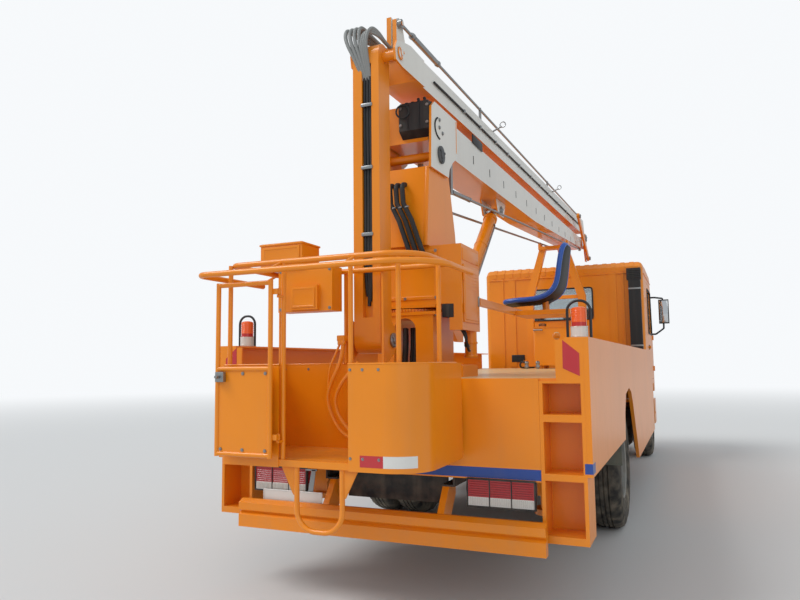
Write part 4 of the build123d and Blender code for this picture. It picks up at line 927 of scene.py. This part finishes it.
rim = [seat_point(index, -0.97, 0.001) for index in range(LAST + 1)]
rim += [seat_point(index, 0.97, 0.001) for index in range(LAST, -1, -1)]
front = fit("moulded_seat", "turntable", blue_seat, [seat_shell(0.0), tube(rim, 0.021, closed=True)],
            stands_for="operator_seat")
# The back skin is dark plastic: painted shade on the underside of the blue shell.
fit("seat_back_shade", "turntable", plastic, [seat_shell(0.0105)])
foot = flat([(x, 1.935, z) for x, z in ((-0.56, 1.922), (-0.70, 1.945), (-0.64, 1.895), (-0.60, 1.895))],
            (0, -0.03, 0), 0.002)
stops = [block((x, 1.99, 1.900), (x + 0.02, 1.91, 1.926), 0.002) for x in (-0.545, -0.50)]
fit("seat_foot", "turntable", cast, [foot] + stops)
print("seat", len(front.data.polygons), "faces")

# %% [markdown]
# The cab's windows sit in black rubber seals, a closed tube round each opening. The doors carry
# their own seals and panes, so those ride on the doors. Wipers, mirror glass, lamp rims and turn
# signals finish the front, and a louvred vent the rear wall.

# %% Cab: seals, panes, wipers, lamps, vent
def round_loop(corners, cut, steps=4):
    """A closed flat outline with its corners rounded."""
    line = []
    for index, corner in enumerate(corners):
        here = Vector(corner)
        before = here + (Vector(corners[index - 1]) - here).normalized() * cut
        after = here + (Vector(corners[(index + 1) % len(corners)]) - here).normalized() * cut
        for step in range(steps + 1):
            share = step / steps
            line.append(before.lerp(here, share).lerp(here.lerp(after, share), share))
    return line


def seal(corners, place, cut=0.03, radius=0.008):
    """A tube round an outline; place turns its flat points into points in the model."""
    return tube([place(*spot) for spot in round_loop(corners, cut)], radius, 2, False, True)


def square(x0, x1, z0, z1):
    """The corners of an upright rectangle."""
    return [(x0, z0), (x1, z0), (x1, z1), (x0, z1)]


def band(spots, shift):
    """A closed strap: an outline's points drawn out by a shift, then given a thickness."""
    net = bmesh.new()
    near = [net.verts.new(at(spot)) for spot in spots]
    far = [net.verts.new(Vector(at(spot)) + Vector(shift)) for spot in spots]
    for a in range(len(spots)):
        b = (a + 1) % len(spots)
        net.faces.new((near[a], near[b], far[b], far[a]))
    bmesh.ops.recalc_face_normals(net, faces=net.faces)
    return changed(meshed(net), "SOLIDIFY", thickness=0.003)


def on_screen(x, z, proud=0.0):
    """A point on the sloping windscreen's outer line."""
    return (x, 7.975 + (2.68 - z) * 0.217 + proud, z)


DOOR_WINDOW = [(7.010, 1.83), (7.010, 2.51), (7.800, 2.51), (7.925, 1.95), (7.925, 1.83)]
LAMP_PLANE = 8.319
seals = [seal(square(-0.45, 0.45, 2.03, 2.49), lambda x, z: (x, 6.236, z), 0.045, 0.011),
         seal(square(-1.0, 1.0, 1.96, 2.68), on_screen, 0.045, 0.011),
         seal(square(-0.70, 0.70, 1.15, 1.60), lambda x, z: (x, 8.18, z))]
seals += [seal(square(side * 0.64, side * 0.96, 0.52, 0.70), lambda x, z: (x, LAMP_PLANE, z)) for side in SIDES]
fit("window_seals", "chassis", plastic, seals)
for side, hand in ((1, "left"), (-1, "right")):
    rubber = seal(DOOR_WINDOW, lambda d, z: (side * 1.151, d, z), 0.05, 0.010)
    grip = block((side * 1.1495, 7.18, 1.585), (side * 1.1530, 6.96, 1.655), 0.0015)
    fit("door_seal_" + hand, "cab_door_" + hand, plastic, [rubber, grip])
    pane = flat([(side * 1.132, d, z) for d, z in DOOR_WINDOW], (-side * 0.005, 0, 0))
    fit("door_pane_" + hand, "cab_door_" + hand, window, [pane])
wipers = []
for x in (-0.30, 0.42):
    wipers += [rod(on_screen(x, 1.935, 0.002), on_screen(x, 1.935, 0.022), 0.016, 16, 0.003),
               tube([on_screen(x, 1.935, 0.018), on_screen(x - 0.12, 2.02, 0.022), on_screen(x - 0.30, 2.17, 0.004)],
                    0.006, 2),
               tube([on_screen(x - 0.53, 2.07, -0.012), on_screen(x - 0.30, 2.17, -0.008),
                     on_screen(x - 0.06, 2.27, -0.012)], 0.007, 2)]
fit("wipers", "chassis", plastic, wipers)
mirrors = [block((side * 1.274, 8.181, 2.047), (side * 1.406, 8.176, 2.413), 0.002) for side in SIDES]
lamp_rims = [ring((side * x, LAMP_PLANE, 0.61), (QUARTER, 0, 0), 0.062, 0.004) for side in SIDES for x in (0.72, 0.88)]
fit("mirror_glass", "chassis", chrome, mirrors + lamp_rims)
fit("turn_signals", "chassis", amber,
    [block((side * 0.85, 8.149, 1.15), (side * 1.05, 8.162, 1.27), 0.006, 3) for side in SIDES])
vent = [block((0.568, 6.241, 1.418), (0.764, 6.226, 1.526), 0.003)]
vent += [rod((0.576, 6.225, z), (0.756, 6.225, z), 0.0045, 8) for z in (1.433, 1.452, 1.471, 1.490, 1.509)]
vent += [rod((-1.122, 6.104, z), (-0.948, 6.104, z), 0.0055, 8) for z in (2.585, 2.61, 2.635, 2.66, 2.685)]
fit("rear_vent", "chassis", plastic, vent)
gutters = [block((side * 1.149, 7.93, 2.655), (side * 1.160, 6.33, 2.669), 0.003) for side in SIDES]
fit("cab_gutters", "chassis", orange, gutters + [block((-1.10, 6.241, 2.664), (1.10, 6.226, 2.674), 0.003)])
duct = round_loop(square(-1.123, -0.957, 6.107, 6.224), 0.008, 2)
fit("duct_straps", "chassis", steel, [band([(x, d, z) for x, d in duct], (0, 0, 0.022)) for z in (1.62, 2.42)])
print("cab dressed")

# %% [markdown]
# Under the deck the springs get their clamps, the axle its bolted cover, the propeller shaft its
# joints and the tanks their straps. Each is a real fastening of a CAD part. The clamps are bare cast
# iron, the cover and the straps black as the frame is.

# %% Chassis: spring clamps, axle cover, straps
clamps = []
for place, low, high in ((REAR_AXLE, 0.425, 0.606), (FRONT_AXLE, 0.330, 0.512)):
    for side in SIDES:
        inner, outer = side * 0.343, side * 0.442
        for d in (place - 0.048, place + 0.048):
            clamps.append(tube([(inner, d, low), (inner, d, high), (outer, d, high), (outer, d, low)], 0.008, 2, False))
            clamps += [bolt((x, d, low + 0.012), (0, 0, -1), 0.013, 0.012) for x in (inner, outer)]
        clamps.append(block((side * 0.33, place + 0.065, low + 0.008), (side * 0.455, place - 0.065, low + 0.020),
                            0.003))
fit("spring_clamps", "chassis", cast, clamps)

flange = ring((0, REAR_AXLE - 0.115, TYRE_RADIUS), (QUARTER, 0, 0), 0.168, 0.011, 56)
head = bolt((0, REAR_AXLE - 0.122, TYRE_RADIUS + 0.168), REARWARD, 0.010, 0.008)
heads = turned_copies(head, (0, REAR_AXLE, TYRE_RADIUS), "Y", 12)
plug = rod((0, REAR_AXLE - 0.195, TYRE_RADIUS - 0.02), (0, REAR_AXLE - 0.214, TYRE_RADIUS - 0.02), 0.022, 6, 0.002)
SHAFT_FRONT, SHAFT_REAR = Vector((0, 6.16, 0.72)), Vector((0, 2.712, 0.529))
JOINTS = ((0.004, 0.012, 0.075), (0.02, 0.035, 0.058), (0.965, 0.98, 0.058), (0.988, 0.996, 0.078))
joints = [rod(SHAFT_FRONT.lerp(SHAFT_REAR, a), SHAFT_FRONT.lerp(SHAFT_REAR, b), radius, 32, 0.004)
          for a, b, radius in JOINTS]
fit("axle_cover", "chassis", black_frame, [flange, heads, plug] + joints)

tank = round_loop(square(-1.0825, -0.5575, 0.4775, 0.9025), 0.062, 6)
straps = [band([(x, d, z) for x, z in tank], (0, 0.04, 0)) for d in (4.45, 4.99)]
straps += [rod((0.64, d, z), (0.64, d - 0.03, z), 0.1085, 40, 0.001) for d in (4.515, 5.015) for z in (0.6, 0.85)]
straps += [ball((0.64, d, z), 0.105, (1, 0.22, 1)) for d in (4.3, 5.2) for z in (0.6, 0.85)]
fit("tank_straps", "chassis", black_frame, straps + [rod((-0.80, 4.33, 0.898), (-0.80, 4.33, 0.937), 0.055, 32, 0.006)])
flap_holes = [(side * x, 1.869, 1.17) for side in SIDES for x in (0.66, 0.78, 0.90, 1.02, 1.14)]
bolt_row("flap_bolts", "chassis", flap_holes, REARWARD, 0.010, 0.008)
print("chassis dressed")

# %% [markdown]
# Hoses hang in the basket from a small block on its bracket, swing out and drop to the floor, and
# more of them run up through the pedestal's arch. Each is a smooth curve through measured points.

# %% Basket and pedestal hoses
INSIDE, THICKEST = -0.20, 0.0125
# a hose's radius, then its points told as (across, height)
HOSE_LINES = {
    THICKEST: ((0.162, 1.552), (0.164, 1.486), (0.195, 1.399), (0.239, 1.321), (0.264, 1.254), (0.268, 1.195),
               (0.249, 1.137), (0.217, 1.074), (0.178, 1.026), (0.135, 0.997), (0.095, 0.985)),
    0.0120: ((0.060, 1.430), (0.099, 1.384), (0.146, 1.341), (0.190, 1.283), (0.216, 1.224), (0.213, 1.167),
             (0.190, 1.108), (0.146, 1.055), (0.102, 1.007), (0.060, 0.985)),
    0.0070: ((0.180, 1.552), (0.217, 1.471), (0.252, 1.408), (0.264, 1.341), (0.266, 1.277), (0.262, 1.205),
             (0.243, 1.13), (0.20, 1.06), (0.15, 1.005), (0.11, 0.985))}
lines = [tube([(x, INSIDE + 0.6 * (THICKEST - radius), z) for x, z in spots], radius)
         for radius, spots in HOSE_LINES.items()]
lines.append(block((0.148, -0.124, 1.556), (0.198, -0.214, 1.590), 0.004))
lines += [rod((x, INSIDE, 1.534), (x, INSIDE, 1.560), 0.017, 6, 0.002) for x in (0.162, 0.181)]
fit("basket_lines", "basket", orange, lines, stands_for="basket_hoses")
runs = [tube([(x, d, 1.331), (x + 0.012, d, 1.42), (x - 0.010, d - 0.02, 1.54), (x, d, 1.655)], 0.015)
        for x, d in ((-0.045, 0.44), (-0.008, 0.47), (0.030, 0.43), (0.050, 0.50), (-0.028, 0.52))]
fit("pedestal_hoses", "chassis", hose_rubber, runs)
print("hoses dressed")

# %% [markdown]
# The lift cylinder gets its gland and pipe, every pin its bolted cap, and the turnbuckles of the
# levelling rods their lock nuts. A pipe that stays with the barrel rides on the barrel.

# %% Booms: cylinder, pin caps, lock nuts
LIFT = ((1.25, 1.64), (2.60, 2.905))
# share along the cylinder, place across
PIPE = ((0.16, -0.055), (0.16, -0.072), (0.20, -0.072), (0.82, -0.072), (0.86, -0.072), (0.86, -0.055))


def on_line(line, share, x=0.0):
    """A point along a line between two places told as (distance ahead, height)."""
    (d0, z0), (d1, z1) = line
    return (x, d0 + (d1 - d0) * share, z0 + (z1 - z0) * share)


glands = [rod(on_line(LIFT, a), on_line(LIFT, b), radius, 40, 0.004)
          for a, b, radius in ((0.905, 0.929, 0.067), (0.66, 0.672, 0.062))]
fit("barrel_gland", "lift_barrel", orange, glands)
ports = [rod(on_line(LIFT, share, -0.05), on_line(LIFT, share, -0.070), 0.013, 6, 0.0015) for share in (0.16, 0.86)]
fit("barrel_pipe", "lift_barrel", steel, [tube([on_line(LIFT, share, x) for share, x in PIPE], 0.007)] + ports)
pin_caps("lift_pin_caps", "lower_boom", steel, (-0.0805, 0.0805), [LIFT[1]], 0.042)
pin_caps("lever_pin_caps", "elbow_lever", steel, (-0.2395, 0.2395), [(7.70, 3.14), (6.75, 3.67)], 0.034)


def lock_nuts(name, body, line, x, shares, radius):
    """Hexagon nuts on a rod."""
    fit(name, body, steel, [rod(on_line(line, share - 0.0022, x), on_line(line, share + 0.0022, x), radius, 6, 0.002, 1)
                            for share in shares])


lock_nuts("tie_rod_nuts", "upper_boom", ((0.14, 3.636), (7.60, 3.862)), -0.088, (0.027, 0.093, 0.985), 0.024)
lock_nuts("level_rod_nuts", "lower_boom", ((0.98, 2.711), (7.45, 3.262)), -0.118, (0.007, 0.073), 0.023)
print("booms dressed")

# %% [markdown]
# The oil tank has a ribbed filler cap, a level gauge and a lifting handle, and two stop cocks stand
# on the deck before it. Their levers are flat bars on a round body.

# %% Oil tank and deck
CAP_X, CAP_D = 0.060, 5.12
COCKS = ((0.244, 4.94), (0.075, 4.82))
rib = block((CAP_X + 0.043, CAP_D + 0.004, 1.885), (CAP_X + 0.049, CAP_D - 0.004, 1.918), 0.0015, 1)
knurl = turned_copies(rib, (CAP_X, CAP_D, 1.90), "Z", 20)
crown = rod((CAP_X, CAP_D, 1.921), (CAP_X, CAP_D, 1.928), 0.036, 32, 0.003)
gauge = block((-0.425, 5.001, 1.45), (-0.385, 4.990, 1.74), 0.003)
fit("filler_cap", "chassis", plastic, [knurl, crown, gauge])
handle = tube([(0.148, 4.999, 1.832), (0.148, 4.972, 1.832), (0.042, 4.972, 1.832), (0.042, 4.999, 1.832)], 0.009, 3,
              False)
glass = rod((-0.405, 4.988, 1.47), (-0.405, 4.988, 1.72), 0.006, 12, 0.001)
fit("tank_handle", "chassis", steel, [handle, glass])
cocks, levers = [], []
for x, d in COCKS:
    cocks += [rod((x, d, 1.328), (x, d, 1.395), 0.020, 24, 0.002), rod((x, d, 1.345), (x, d, 1.372), 0.032, 6, 0.002),
              ball((x, d, 1.405), 0.028)]
    levers += [block((x - 0.012, d + 0.012, 1.430), (x + 0.012, d - 0.125, 1.437), 0.003),
               rod((x, d, 1.425), (x, d, 1.446), 0.009, 6, 0.001)]
fit("stop_cocks", "chassis", steel, cocks)
fit("cock_levers", "chassis", orange, levers)
x = COCKS[0][0]
fit("tank_hoses", "chassis", hose_rubber,
    [tube([(x, 4.94, 1.40), (x + 0.05, 4.93, 1.43), (x + 0.09, 4.95, 1.40), (x + 0.10, 5.0, 1.345),
           (x + 0.08, 5.3, 1.342), (x + 0.07, 5.7, 1.342)], 0.012)])
print("deck dressed")
